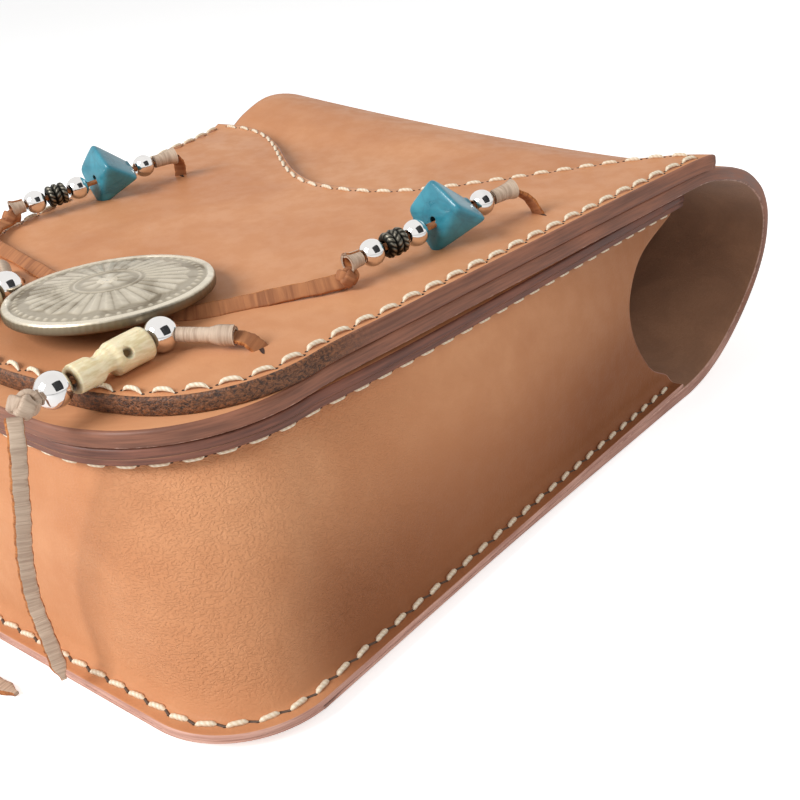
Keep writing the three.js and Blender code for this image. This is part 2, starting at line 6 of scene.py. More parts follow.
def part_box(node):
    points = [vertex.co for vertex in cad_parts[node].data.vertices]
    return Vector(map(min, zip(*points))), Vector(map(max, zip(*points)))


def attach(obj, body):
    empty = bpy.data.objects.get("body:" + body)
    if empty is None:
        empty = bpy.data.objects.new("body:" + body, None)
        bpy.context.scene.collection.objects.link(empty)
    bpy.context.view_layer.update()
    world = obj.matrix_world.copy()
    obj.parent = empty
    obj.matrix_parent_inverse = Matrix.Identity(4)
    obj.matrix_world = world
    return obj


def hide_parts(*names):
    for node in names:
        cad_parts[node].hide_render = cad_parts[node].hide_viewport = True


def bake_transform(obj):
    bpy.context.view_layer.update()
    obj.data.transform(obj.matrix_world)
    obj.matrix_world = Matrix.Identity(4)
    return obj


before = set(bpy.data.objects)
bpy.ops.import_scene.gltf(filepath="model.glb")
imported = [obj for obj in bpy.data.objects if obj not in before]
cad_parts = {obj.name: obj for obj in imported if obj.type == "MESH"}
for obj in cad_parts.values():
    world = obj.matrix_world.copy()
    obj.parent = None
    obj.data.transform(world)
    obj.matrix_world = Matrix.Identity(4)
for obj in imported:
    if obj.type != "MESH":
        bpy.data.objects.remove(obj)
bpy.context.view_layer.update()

scene = bpy.context.scene

# Shapes are worked out in millimetres from the seam across the back's bottom;
# the back panel's box says where that is.
wrapPlan = {
    "thickness": 3.0,
    "backHalf": 61.9, "backBottom": -4.1, "backCorner": 20.0,
    "edgeRise": 2.2, "edgeWidth": 11.0,      # the back thins to a curled edge under its seam
    "flapBottom": 1.5, "flapCorner": 30.7, "flapBulge": 0.8,
    "backShare": 0.12, "flapShare": 0.86,    # where the two rounded ends begin, as shares of the sheet
    "flatStep": 45.0, "curlRows": 6,         # spacing of the first rows; rows that the curl reaches
    "liftPivot": 53.0, "liftSpan": 113.0, "liftPower": 1.4,
    # outer face from the back's bottom over the roll to the flap's bottom:
    # Y and Z at the right-hand end, Y and Z at the far end, half width
    "rows": [
        [0, 0, 0, 0, 61.9], [45, 0, 45, 0, 61.9], [90, 0, 90, 0, 61.9], [125, 0, 125, 0, 61.9],
        [140, 0, 140, 0, 62.0], [150, 0, 150, 0, 62.3], [159, 1.6, 159, 1.6, 62.9], [167, 5.3, 167, 5.3, 63.7],
        [174, 10.3, 174, 10.3, 64.4], [180, 16.3, 180, 16.3, 65.1], [184.5, 22.8, 184.5, 22.8, 65.7],
        [186.5, 29.5, 186.5, 29.5, 66.2], [185.2, 37.3, 185.8, 37.6, 66.8], [180.3, 43.9, 183, 46.3, 67.4],
        [173.5, 48.7, 176.9, 55, 68.1], [165.8, 52.6, 168.4, 62.1, 68.9], [157.5, 55.6, 158.9, 66.3, 69.7],
        [149, 58, 149, 67.5, 70.3], [140, 59.5, 138.5, 65.4, 69.7], [126, 58.5, 126, 61.7, 67.1],
        [108, 57.3, 108, 60.9, 64], [90, 56.1, 90, 60.1, 61], [72, 54.9, 72, 59.2, 57.9],
        [54, 53.65, 54, 58.25, 54.8], [36, 52.45, 36, 57.05, 51.8], [18, 51.2, 18, 55.8, 51],
        [0, 50, 0, 54.6, 51], [-18, 48.8, -18, 53.4, 51],
    ],
}
backLow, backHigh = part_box("back_panel")
shift = np.array([500 * (backLow.x + backHigh.x), 1000 * backLow.y - wrapPlan["backBottom"], 1000 * backLow.z])


def toFrame(points):
    return (np.asarray(points, float) + shift) / 1000


def fromFrame(point):
    return np.array(point) * 1000 - shift


def unit(vectors):
    return vectors / np.maximum(np.linalg.norm(vectors, axis=-1, keepdims=True), 1e-9)


def smoothStep(values, low, high):
    part = np.clip((np.asarray(values, float) - low) / (high - low), 0, 1)
    return part * part * (3 - 2 * part)


def eased(part):
    return 1 - np.cos(np.clip(part, 0, 1) * np.pi / 2)


# Camera first, then the free ends of the laces.
cameraPlan = {
    "place": (0.165216, -0.169948, 0.122156),
    "forward": (-0.58966, 0.68369, -0.42996),
    "right": (0.7832, 0.6140, -0.0977),
    "lens": 49.06,
    "sensor": 36.0,
}


def makeCamera():
    forward = Vector(cameraPlan["forward"]).normalized()
    right = Vector(cameraPlan["right"]).normalized()
    up = right.cross(forward).normalized()
    data = bpy.data.cameras.new("viewCamera")
    data.lens = cameraPlan["lens"]
    data.sensor_width = cameraPlan["sensor"]
    data.clip_start = 0.01
    camera = bpy.data.objects.new("viewCamera", data)
    turn = Matrix((right, up, -forward)).transposed().to_4x4()
    camera.matrix_world = Matrix.Translation(cameraPlan["place"]) @ turn
    scene.collection.objects.link(camera)
    scene.camera = camera


makeCamera()
print("camera placed")


# Node helpers: a value may be a socket to link or a plain number or colour.
def feed(tree, socket, value):
    if isinstance(value, bpy.types.NodeSocket):
        tree.links.new(value, socket)
    else:
        socket.default_value = value


def addNode(tree, kind, inputs=None, **settings):
    node = tree.nodes.new(kind)
    for key, value in settings.items():
        setattr(node, key, value)
    for key, value in (inputs or {}).items():
        feed(tree, node.inputs[key], value)
    return node


def mathNode(tree, operation, first, second=0.0, clamp=False):
    return addNode(tree, "ShaderNodeMath", {0: first, 1: second}, operation=operation, use_clamp=clamp).outputs[0]


def mixTone(tree, part, first, second, how="MIX"):
    node = addNode(tree, "ShaderNodeMix", {0: part, 6: first, 7: second}, data_type="RGBA", blend_type=how)
    return node.outputs[2]


def noiseNode(tree, vector, scale, detail=4.0, roughness=0.55, distortion=0.0):
    inputs = {"Vector": vector, "Scale": scale, "Detail": detail, "Roughness": roughness,
              "Distortion": distortion}
    return addNode(tree, "ShaderNodeTexNoise", inputs).outputs["Fac"]


def cellNode(tree, vector, scale, feature="F1", randomness=1.0):
    inputs = {"Vector": vector, "Scale": scale, "Randomness": randomness}
    return addNode(tree, "ShaderNodeTexVoronoi", inputs, feature=feature).outputs["Distance"]


def rangeNode(tree, value, fromLow, fromHigh, toLow=0.0, toHigh=1.0, smooth=True):
    inputs = {"Value": value, "From Min": fromLow, "From Max": fromHigh, "To Min": toLow, "To Max": toHigh}
    kind = "SMOOTHSTEP" if smooth else "LINEAR"
    return addNode(tree, "ShaderNodeMapRange", inputs, interpolation_type=kind).outputs["Result"]


def stretchNode(tree, vector, scale, turn=(0.0, 0.0, 0.0)):
    return addNode(tree, "ShaderNodeMapping", {"Vector": vector, "Scale": scale, "Rotation": turn}).outputs["Vector"]


def tone(red, green, blue):
    # the colour 0 to 255 as it looks, turned to light:
    # below 0.04045 divide by 12.92, else ((c + 0.055) / 1.055) ^ 2.4
    seen = np.array([red, green, blue]) / 255
    light = np.where(seen < 0.04045, seen / 12.92, ((seen + 0.055) / 1.055) ** 2.4)
    return (*[float(c) for c in light], 1.0)


def newGroup(name, inputs, outputs):
    tree = bpy.data.node_groups.new(name, "ShaderNodeTree")
    for label, kind, value in inputs:
        socket = tree.interface.new_socket(label, in_out="INPUT", socket_type=kind)
        if value is not None:
            socket.default_value = value
    for label, kind in outputs:
        tree.interface.new_socket(label, in_out="OUTPUT", socket_type=kind)
    return tree, tree.nodes.new("NodeGroupInput").outputs, tree.nodes.new("NodeGroupOutput").inputs


def makeGrainGroup():
    # smooth saddle leather: slow clouds, fine mottling, closed pores and hair-fine creases
    tree, given, out = newGroup(
        "saddleGrain",
        [("Vector", "NodeSocketVector", None), ("Crease", "NodeSocketFloat", 0.0)],
        [("Clouds", "NodeSocketFloat"), ("Mottle", "NodeSocketFloat"), ("Height", "NodeSocketFloat")],
    )
    vector = given["Vector"]
    clouds = noiseNode(tree, vector, 26.0, 4.0, 0.55, 0.4)
    fine = noiseNode(tree, vector, 210.0, 6.0, 0.62)
    pores = cellNode(tree, vector, 1500.0)
    tiny = noiseNode(tree, vector, 2600.0, 3.0, 0.6)
    warped = addNode(tree, "ShaderNodeVectorMath", {
        0: vector,
        1: addNode(tree, "ShaderNodeVectorMath", {
            0: addNode(tree, "ShaderNodeTexNoise", {"Vector": vector, "Scale": 300.0, "Detail": 2.0}).outputs["Color"],
            "Scale": 0.0016}, operation="SCALE").outputs[0],
    }, operation="ADD").outputs[0]
    wrinkles = noiseNode(tree, stretchNode(tree, warped, (1.0, 1.0, 1.9)), 1600.0, 1.5, 0.5)
    folds = rangeNode(tree, wrinkles, 0.38, 0.54)
    plain = mathNode(tree, "ADD", mathNode(tree, "MULTIPLY", pores, 0.35), mathNode(tree, "MULTIPLY", tiny, 0.4))
    strong = mathNode(tree, "MULTIPLY", folds, mathNode(tree, "MULTIPLY", given["Crease"], 1.2))
    feed(tree, out["Clouds"], rangeNode(tree, clouds, 0.3, 0.7))
    feed(tree, out["Mottle"], rangeNode(tree, fine, 0.32, 0.68))
    feed(tree, out["Height"], mathNode(tree, "ADD", plain, strong))
    return tree


def makeEdgeGroup():
    # a burnished cut edge: streaks along it, a rubbed shine, and where Raw is 1 loose speckled fibres instead
    tree, given, out = newGroup(
        "cutEdge",
        [("Vector", "NodeSocketVector", None), ("Raw", "NodeSocketFloat", 0.0)],
        [("Streak", "NodeSocketFloat"), ("Speck", "NodeSocketFloat"), ("Height", "NodeSocketFloat")],
    )
    vector = given["Vector"]
    streak = noiseNode(tree, stretchNode(tree, vector, (90.0, 1900.0, 1.0)), 1.0, 5.0, 0.6)
    slow = noiseNode(tree, stretchNode(tree, vector, (60.0, 160.0, 1.0)), 1.0, 3.0, 0.5)
    speck = noiseNode(tree, stretchNode(tree, vector, (0.8, 1.3, 1.0)), 1500.0, 5.0, 0.75, 0.8)
    crumbs = cellNode(tree, vector, 2400.0)
    band = mathNode(tree, "ADD", mathNode(tree, "MULTIPLY", streak, 0.6), mathNode(tree, "MULTIPLY", slow, 0.4))
    loose = mathNode(tree, "ADD", mathNode(tree, "MULTIPLY", speck, 1.6), mathNode(tree, "MULTIPLY", crumbs, 0.9))
    polished = mathNode(tree, "MULTIPLY", mathNode(tree, "ADD", band, mathNode(tree, "MULTIPLY", speck, 0.3)), 0.5)
    height = addNode(tree, "ShaderNodeMix", {0: given["Raw"], 2: polished, 3: loose}, data_type="FLOAT").outputs[0]
    feed(tree, out["Streak"], rangeNode(tree, band, 0.36, 0.66))
    feed(tree, out["Speck"], rangeNode(tree, speck, 0.36, 0.66))
    feed(tree, out["Height"], height)
    return tree


def makeFibreGroup():
    # napped flesh side: short matted fibres over soft patches
    tree, given, out = newGroup(
        "fleshNap",
        [("Vector", "NodeSocketVector", None)],
        [("Patch", "NodeSocketFloat"), ("Nap", "NodeSocketFloat"), ("Height", "NodeSocketFloat")],
    )
    vector = given["Vector"]
    patch = noiseNode(tree, vector, 55.0, 4.0, 0.6, 0.6)
    nap = noiseNode(tree, stretchNode(tree, vector, (1.0, 0.55, 1.0), (0.0, 0.0, 0.6)), 1700.0, 5.0, 0.7, 1.2)
    feed(tree, out["Patch"], rangeNode(tree, patch, 0.32, 0.68))
    feed(tree, out["Nap"], rangeNode(tree, nap, 0.3, 0.7))
    feed(tree, out["Height"], nap)
    return tree


grainGroup, edgeGroup, fibreGroup = makeGrainGroup(), makeEdgeGroup(), makeFibreGroup()


def newMaterial(name):
    material = bpy.data.materials.new(name)
    material.use_nodes = True
    tree = material.node_tree
    shader = tree.nodes["Principled BSDF"]
    return material, tree, shader


def coordinates(tree, kind="Object"):
    return tree.nodes.new("ShaderNodeTexCoord").outputs[kind]


def useGroup(tree, group, inputs):
    node = tree.nodes.new("ShaderNodeGroup")
    node.node_tree = group
    for key, value in inputs.items():
        feed(tree, node.inputs[key], value)
    return node.outputs


def bump(tree, shader, height, strength, distance):
    node = addNode(tree, "ShaderNodeBump", {"Height": height, "Strength": strength, "Distance": distance})
    tree.links.new(node.outputs["Normal"], shader.inputs["Normal"])


def meshMark(tree, name):
    return addNode(tree, "ShaderNodeAttribute", attribute_name=name).outputs["Fac"]


leatherTones = {
    # the third tone on the next line is painted shade for the gusset's sides
    "light": tone(213, 154, 112), "deep": tone(190, 128, 88), "paintedShade": tone(128, 76, 46),
    "bandLight": tone(152, 100, 77), "bandDeep": tone(110, 68, 50),
    "seamLight": tone(214, 168, 150), "seamDeep": tone(168, 118, 102),
    "rawLight": tone(142, 90, 56), "rawDeep": tone(42, 24, 15),
    "fleshLight": tone(176, 129, 97), "fleshDeep": tone(152, 110, 82),
    "crack": tone(216, 176, 158),
}


def grainMaterial(name, kind="Object", creased=False, withPaintedShade=False, depth=0.00006):
    material, tree, shader = newMaterial(name)
    crease = meshMark(tree, "crease") if creased else 0.0
    grain = useGroup(tree, grainGroup, {"Vector": coordinates(tree, kind), "Crease": crease})
    cloudy = mathNode(tree, "MULTIPLY", grain["Clouds"], 0.8)
    colour = mixTone(tree, cloudy, leatherTones["light"], leatherTones["deep"])
    mottled = mixTone(tree, mathNode(tree, "MULTIPLY", grain["Mottle"], 0.22), colour, leatherTones["deep"])
    # where asked, the colour is darkened towards the painted shade tone by the mesh's mark
    if withPaintedShade:
        mottled = mixTone(tree, meshMark(tree, "paintedShade"), mottled, leatherTones["paintedShade"])
    feed(tree, shader.inputs["Base Color"], mottled)
    feed(tree, shader.inputs["Roughness"], rangeNode(tree, grain["Mottle"], 0.0, 1.0, 0.4, 0.54))
    shader.inputs["Specular IOR Level"].default_value = 0.12
    bump(tree, shader, grain["Height"], 0.55, depth * (3.4 if creased else 1.0))
    return material


def edgeMaterial(name, light, deep, raw=False, crack=None, seam=False, roughness=(0.42, 0.62)):
    # light and deep are the burnished tones; crack is the depth where a pale torn line starts;
    # with seam the mesh says where the edge is the pale one of the back seam
    material, tree, shader = newMaterial(name)
    vector = coordinates(tree, "UV")
    rawMark = meshMark(tree, "raw") if raw else 0.0
    edge = useGroup(tree, edgeGroup, {"Vector": vector, "Raw": rawMark})
    colour = mixTone(tree, edge["Streak"], deep, light)
    if seam:
        pale = mixTone(tree, edge["Streak"], leatherTones["seamDeep"], leatherTones["seamLight"])
        colour = mixTone(tree, meshMark(tree, "seam"), colour, pale)
    if raw:
        loose = mixTone(tree, edge["Speck"], leatherTones["rawDeep"], leatherTones["rawLight"])
        colour = mixTone(tree, rawMark, colour, loose)
    if crack is not None:
        depthAt = addNode(tree, "ShaderNodeSeparateXYZ", {0: vector}).outputs["Y"]
        ragged = noiseNode(tree, stretchNode(tree, vector, (420.0, 30.0, 1.0)), 1.0, 4.0, 0.7)
        line = mathNode(tree, "ADD", depthAt, mathNode(tree, "MULTIPLY", ragged, 0.0011))
        mask = rangeNode(tree, line, crack, crack + 0.00022)
        colour = mixTone(tree, mathNode(tree, "MULTIPLY", mask, 0.7), colour, leatherTones["crack"])
    feed(tree, shader.inputs["Base Color"], colour)
    feed(tree, shader.inputs["Roughness"], rangeNode(tree, edge["Streak"], 0.0, 1.0, *roughness))
    bump(tree, shader, edge["Height"], 0.6, 0.00022)
    return material


def fleshMaterial(name, light, deep, kind="Object"):
    material, tree, shader = newMaterial(name)
    nap = useGroup(tree, fibreGroup, {"Vector": coordinates(tree, kind)})
    colour = mixTone(tree, nap["Patch"], deep, light)
    colour = mixTone(tree, mathNode(tree, "MULTIPLY", nap["Nap"], 0.35), colour, deep)
    feed(tree, shader.inputs["Base Color"], colour)
    feed(tree, shader.inputs["Roughness"], rangeNode(tree, nap["Nap"], 0.0, 1.0, 0.8, 0.95))
    shader.inputs["Sheen Weight"].default_value = 0.15
    shader.inputs["Sheen Roughness"].default_value = 0.6
    bump(tree, shader, nap["Height"], 0.6, 0.00015)
    return material


def laceMaterial(name, light, deep, ripple=900.0, roughness=(0.55, 0.7)):
    # soft garment lace: fine creases run across it; its UV runs along (X) and round (Y) the strip
    material, tree, shader = newMaterial(name)
    vector = coordinates(tree, "UV")
    creases = noiseNode(tree, stretchNode(tree, vector, (ripple * 2.2, ripple * 0.3, 1.0)), 1.0, 4.0, 0.65, 0.8)
    patch = noiseNode(tree, vector, 260.0, 4.0, 0.6)
    colour = mixTone(tree, rangeNode(tree, creases, 0.34, 0.64), deep, light)
    colour = mixTone(tree, mathNode(tree, "MULTIPLY", rangeNode(tree, patch, 0.35, 0.65), 0.35), colour, deep)
    feed(tree, shader.inputs["Base Color"], colour)
    feed(tree, shader.inputs["Roughness"], rangeNode(tree, creases, 0.3, 0.7, *roughness))
    bump(tree, shader, creases, 0.7, 0.00016)
    return material


def threadMaterial():
    material, tree, shader = newMaterial("waxedThread")
    twist = addNode(tree, "ShaderNodeTexWave", {
        "Vector": stretchNode(tree, coordinates(tree, "UV"), (1.0, 1.0, 1.0), (0.0, 0.0, 0.6)), "Scale": 420.0,
        "Distortion": 1.6, "Detail": 2.0, "Detail Scale": 2.0}).outputs["Fac"]
    stain = noiseNode(tree, coordinates(tree), 300.0, 3.0)
    colour = mixTone(tree, twist, tone(222, 204, 176), tone(240, 229, 208))
    colour = mixTone(tree, mathNode(tree, "MULTIPLY", stain, 0.25), colour, tone(206, 176, 140))
    feed(tree, shader.inputs["Base Color"], colour)
    feed(tree, shader.inputs["Roughness"], rangeNode(tree, twist, 0.0, 1.0, 0.65, 0.5))
    bump(tree, shader, twist, 0.3, 0.00005)
    return material


def metalMaterial(name, light, deep, roughness, mark=None, grit=0.00002):
    # bright where rubbed and dark in the recesses; mark names the mesh attribute that says where those are, which on
    # the disc also holds painted shade on its side and underside
    material, tree, shader = newMaterial(name)
    vector = coordinates(tree)
    scuff = noiseNode(tree, vector, 900.0, 5.0, 0.65)
    stain = noiseNode(tree, vector, 120.0, 4.0, 0.6, 0.8)
    recess = meshMark(tree, mark) if mark else 0.0
    dull = mathNode(tree, "MULTIPLY", rangeNode(tree, stain, 0.42, 0.7), 0.45 if mark else 0.12)
    tarnishAndShade = mathNode(tree, "ADD", recess, dull, clamp=True)
    feed(tree, shader.inputs["Base Color"], mixTone(tree, tarnishAndShade, light, deep))
    rough = mathNode(tree, "ADD", rangeNode(tree, scuff, 0.3, 0.7, *roughness),
                     mathNode(tree, "MULTIPLY", tarnishAndShade, 0.2))
    feed(tree, shader.inputs["Roughness"], rough)
    shader.inputs["Metallic"].default_value = 1.0
    bump(tree, shader, scuff, 0.3, grit)
    return material


def stoneMaterial():
    material, tree, shader = newMaterial("turquoiseStone")
    vector = coordinates(tree)
    clouds = noiseNode(tree, vector, 150.0, 5.0, 0.6, 0.6)
    veins = cellNode(tree, vector, 240.0, "DISTANCE_TO_EDGE")
    colour = mixTone(tree, rangeNode(tree, clouds, 0.3, 0.7), tone(34, 112, 132), tone(58, 146, 166))
    faint = mathNode(tree, "MULTIPLY", rangeNode(tree, veins, 0.06, 0.0), 0.14)
    feed(tree, shader.inputs["Base Color"], mixTone(tree, faint, colour, tone(34, 70, 80)))
    feed(tree, shader.inputs["Roughness"], rangeNode(tree, clouds, 0.2, 0.8, 0.24, 0.36))
    shader.inputs["Coat Weight"].default_value = 0.25
    shader.inputs["Coat Roughness"].default_value = 0.12
    bump(tree, shader, clouds, 0.15, 0.0001)
    return material


def boneMaterial():
    material, tree, shader = newMaterial("carvedBone")
    vector = coordinates(tree)
    grain = noiseNode(tree, stretchNode(tree, vector, (2.2, 0.5, 2.2)), 700.0, 5.0, 0.6)
    pores = cellNode(tree, vector, 1100.0)
    dirt = rangeNode(tree, pores, 0.12, 0.02)
    colour = mixTone(tree, rangeNode(tree, grain, 0.32, 0.68), tone(222, 204, 158), tone(241, 230, 196))
    # darker in the drilled hole, the notches and at the ends, where the recess mark is high
    darkerInRecesses = mixTone(tree, meshMark(tree, "recess"), colour, tone(104, 78, 44))
    filled = mathNode(tree, "MULTIPLY", dirt, 0.5)
    feed(tree, shader.inputs["Base Color"], mixTone(tree, filled, darkerInRecesses, tone(128, 98, 58)))
    feed(tree, shader.inputs["Roughness"], rangeNode(tree, grain, 0.2, 0.8, 0.38, 0.55))
    shader.inputs["Subsurface Weight"].default_value = 0.1
    shader.inputs["Subsurface Scale"].default_value = 0.001
    bump(tree, shader, mathNode(tree, "SUBTRACT", grain, dirt), 0.4, 0.00008)
    return material


def plainMaterial(name, light, deep, roughness):
    material, tree, shader = newMaterial(name)
    cloud = noiseNode(tree, coordinates(tree), 900.0, 3.0)
    feed(tree, shader.inputs["Base Color"], mixTone(tree, cloud, deep, light))
    shader.inputs["Roughness"].default_value = roughness
    return material


finishes = {
    "wrapGrain": grainMaterial("wrapGrain", "UV"),
    "wrapEdge": edgeMaterial("wrapEdge", leatherTones["bandLight"], leatherTones["bandDeep"],
                             crack=0.0033, seam=True),
    "wrapFlesh": fleshMaterial("wrapFlesh", leatherTones["fleshLight"], leatherTones["fleshDeep"], "UV"),
    "overlayGrain": grainMaterial("overlayGrain"),
    "overlayEdge": edgeMaterial("overlayEdge", leatherTones["bandLight"], leatherTones["bandDeep"], raw=True),
    "overlayFlesh": fleshMaterial("overlayFlesh", leatherTones["fleshLight"], leatherTones["fleshDeep"]),
    "frontGrain": grainMaterial("frontGrain"),
    "frontEdge": edgeMaterial("frontEdge", tone(136, 86, 68), tone(92, 54, 42), seam=True),
    "gussetGrain": grainMaterial("gussetGrain", creased=True, withPaintedShade=True),
    "thread": threadMaterial(),
    # painted shade: the dark inside stitch holes and lace slits
    "hole": plainMaterial("paintedHoleShade", tone(70, 42, 28), tone(38, 22, 15), 0.85),
    "gapThread": plainMaterial("gapThread", tone(104, 84, 70), tone(64, 50, 42), 0.75),
    "ballSilver": metalMaterial("ballSilver", tone(238, 236, 234), tone(150, 146, 140), (0.03, 0.07),
                                grit=0.000004),
    "discSilver": metalMaterial("discSilver", tone(232, 222, 202), tone(128, 116, 96), (0.24, 0.36), "recess"),
    "darkSilver": metalMaterial("darkSilver", tone(150, 144, 130), tone(34, 33, 30), (0.24, 0.4), "recess"),
    "snapMetal": metalMaterial("snapMetal", tone(168, 162, 150), tone(96, 90, 80), (0.24, 0.36)),
    "stone": stoneMaterial(),
    "bone": boneMaterial(),
    "laceGrain": laceMaterial("laceGrain", tone(204, 182, 160), tone(170, 146, 126)),
    "laceFlesh": laceMaterial("laceFlesh", tone(176, 118, 78), tone(136, 84, 52), 300.0, (0.75, 0.9)),
    "laceCut": laceMaterial("laceCut", tone(196, 126, 70), tone(138, 80, 42), 700.0, (0.8, 0.9)),
}
print("materials made:", len(finishes))


def buildMesh(name, points, quads, finish, quadUv=None, caps=(), quadFinish=None, marks=None):
    # quads and n-sided caps over one list of points; turned inside out if the closed volume comes out negative
    corners = points[quads]
    half = np.cross(corners[:, 1] - corners[:, 0], corners[:, 2] - corners[:, 0])
    other = np.cross(corners[:, 2] - corners[:, 0], corners[:, 3] - corners[:, 0])
    volume = ((half + other) * corners.mean(1)).sum()
    if volume < 0:
        quads = quads[:, ::-1]
        quadUv = None if quadUv is None else quadUv[:, ::-1]
        caps = [cap[::-1] for cap in caps]
    mesh = bpy.data.meshes.new(name)
    mesh.from_pydata(toFrame(points).tolist(), [], quads.tolist() + [list(cap) for cap in caps])
    for material in finish:
        mesh.materials.append(material)
    if quadFinish is not None:
        mesh.polygons.foreach_set("material_index", np.concatenate([quadFinish, np.zeros(len(caps))]).astype(int))
    uv = np.zeros((len(mesh.loops), 2))
    if quadUv is not None:
        uv[: quadUv.size // 2] = quadUv.reshape(-1, 2) / 1000
    mesh.uv_layers.new(name="surface").data.foreach_set("uv", uv.ravel())
    for key, values in (marks or {}).items():
        mesh.attributes.new(key, "FLOAT", "POINT").data.foreach_set("value", np.asarray(values, np.float32).ravel())
    mesh.polygons.foreach_set("use_smooth", np.ones(len(mesh.polygons), bool))
    mesh.update()
    piece = bpy.data.objects.new(name, mesh)
    scene.collection.objects.link(piece)
    return piece


def gridQuads(rows, columns, wrapColumns=False, wrapRows=False):
    # corner numbers of every cell of a grid, and the same corners as unwrapped (column, row) pairs
    j, i = np.meshgrid(np.arange(rows - (not wrapRows)), np.arange(columns - (not wrapColumns)), indexing="ij")
    steps = [(0, 0), (1, 0), (1, 1), (0, 1)]
    quads = np.stack([(j + b) % rows * columns + (i + a) % columns for a, b in steps], -1)
    places = np.stack([np.stack([i + a, j + b], -1) for a, b in steps], -2)
    return quads.reshape(-1, 4), places.reshape(-1, 4, 2)


def tubes(name, centres, axisA, axisB, section, finish, sideFinish=None, closed=False):
    # a closed outline carried along each path: centre + a * axisA + b * axisB; all paths make one mesh
    # centres, axisA, axisB: (paths, steps, 3); section: (steps or 1, sides, 2) or with a leading path axis
    section = section[None] if section.ndim == 3 else section
    points = centres[:, :, None] + section[..., :1] * axisA[:, :, None] + section[..., 1:] * axisB[:, :, None]
    paths, steps, sides = points.shape[:3]
    quads, places = gridQuads(steps, sides, True, closed)
    starts = np.arange(paths)[:, None, None] * steps * sides
    caps = []
    if not closed:
        for start in starts.ravel():
            caps.append(list(range(start, start + sides)))
            caps.append(list(range(start + steps * sides - 1, start + (steps - 1) * sides - 1, -1)))
    length = np.linalg.norm(np.diff(centres[0], axis=0), axis=1).sum()
    around = np.linalg.norm(np.diff(points[0, steps // 2], axis=0), axis=1).sum()
    scale = np.array([around / sides, length / max(1, steps - 1)])
    uv = (places * scale)[..., ::-1]
    sideOf = None if sideFinish is None else np.tile(np.asarray(sideFinish)[places[:, 0, 0] % sides], paths)
    return buildMesh(name, points.reshape(-1, 3), (quads[None] + starts).reshape(-1, 4), finish,
                     np.tile(uv, (paths, 1, 1)), caps, sideOf)


def pathAlong(points, count):
    # Catmull-Rom through the points, then even steps along its length
    given = np.asarray(points, float)
    ends = np.vstack([2 * given[0] - given[1], given, 2 * given[-1] - given[-2]])
    t = np.linspace(0, 1, 24, endpoint=False)[None, :, None]
    a, b, c, d = (ends[k : len(ends) - 3 + k, None] for k in range(4))
    dense = 0.5 * (2 * b + (c - a) * t + (2 * a - 5 * b + 4 * c - d) * t**2 + (3 * b - a - 3 * c + d) * t**3)
    return evenSteps(np.vstack([dense.reshape(-1, 3), given[-1:]]), count)


def evenSteps(path, count):
    reach = np.concatenate([[0], np.cumsum(np.linalg.norm(np.diff(path, axis=0), axis=1))])
    at = np.linspace(0, reach[-1], count)
    return np.stack([np.interp(at, reach, path[:, k]) for k in range(path.shape[1])], 1)


def pathFrames(path, up):
    # across = along x up, and the face normal = across x along, at every step
    along = unit(np.gradient(path, axis=0))
    across = unit(np.cross(along, np.broadcast_to(up, path.shape)))
    return along, across, unit(np.cross(across, along))


def flatSection(width, thickness, sides=16, power=0.45):
    # a rounded rectangle: each coordinate is half the size times sign(cos) |cos| ^ power, and the same with sin
    angle = (np.arange(sides) + 0.5) / sides * 2 * np.pi
    across, through = np.cos(angle), np.sin(angle)
    return np.stack([width / 2 * np.sign(across) * np.abs(across) ** power,
                     thickness / 2 * np.sign(through) * np.abs(through) ** power], -1)


lacePlan = {
    "width": 2.7, "thickness": 1.1, "sides": 16,
    "nearTail": [[26.4, -5.4, 56.0], [28.2, -6.8, 53.6], [28.2, -7.5, 50], [27.0, -7.7, 46], [25.4, -7.6, 41],
                 [23.0, -7.5, 35], [21.2, -7.4, 29.5], [20, -7.3, 22], [21, -7.2, 14.5], [22.6, -7.3, 6.8]],
    "farTail": [[-16, -6.6, 55.6], [-16.4, -7.6, 52], [-17, -8, 45], [-17.6, -8.2, 36], [-18, -8.4, 27],
                [-17.8, -8.6, 18], [-16.6, -9, 10], [-13.4, -9.6, 4.4], [-8.6, -10.2, 1.6], [-2, -10.8, 0.8],
                [4, -11, 0.75], [11, -10.6, 0.75]],
    "nearTurn": 62.0, "farTurn": 40.0,      # degrees that the hanging face is turned from the front towards +X
    "tipLength": 3.0,
}


def tailLace(name, points, turn, node):
    # a flat lace on its route, its face towards the turned direction; it narrows over the last few millimetres
    path = pathAlong(points, 140)
    angle = np.radians(turn)
    facing = np.array([np.sin(angle), -np.cos(angle), 0.0])
    lying = smoothStep(path[:, 2], 9.0, 2.0)[:, None]        # the part on the ground lies on its face
    _, across, normal = pathFrames(path, facing * (1 - lying) + np.array([0, 0, 1.0]) * lying)
    step = np.linspace(0, 1, len(path))
    reach = np.linalg.norm(np.diff(path, axis=0), axis=1).sum()
    left = (1 - step) * reach
    narrow = 0.35 + 0.65 * smoothStep(left, 0, lacePlan["tipLength"])
    waver = 1 + 0.05 * np.sin(reach * step * 1.7) + 0.03 * np.sin(reach * step * 4.3)
    curl = 1 + 0.06 * np.sin(reach * step * 6.1)
    section = flatSection(lacePlan["width"], lacePlan["thickness"], lacePlan["sides"])
    section = section[None] * np.stack([narrow * waver, curl * (0.5 + 0.5 * narrow)], -1)[:, None]
    angles = (np.arange(lacePlan["sides"]) + 0.5) / lacePlan["sides"] * 2 * np.pi
    cut = (np.abs(np.cos(angles)) > 0.75).astype(int)
    piece = tubes(name, path[None], across[None], normal[None], section,
                  [finishes["laceGrain"], finishes["laceCut"]], cut)
    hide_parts(node)
    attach(piece, "flap")


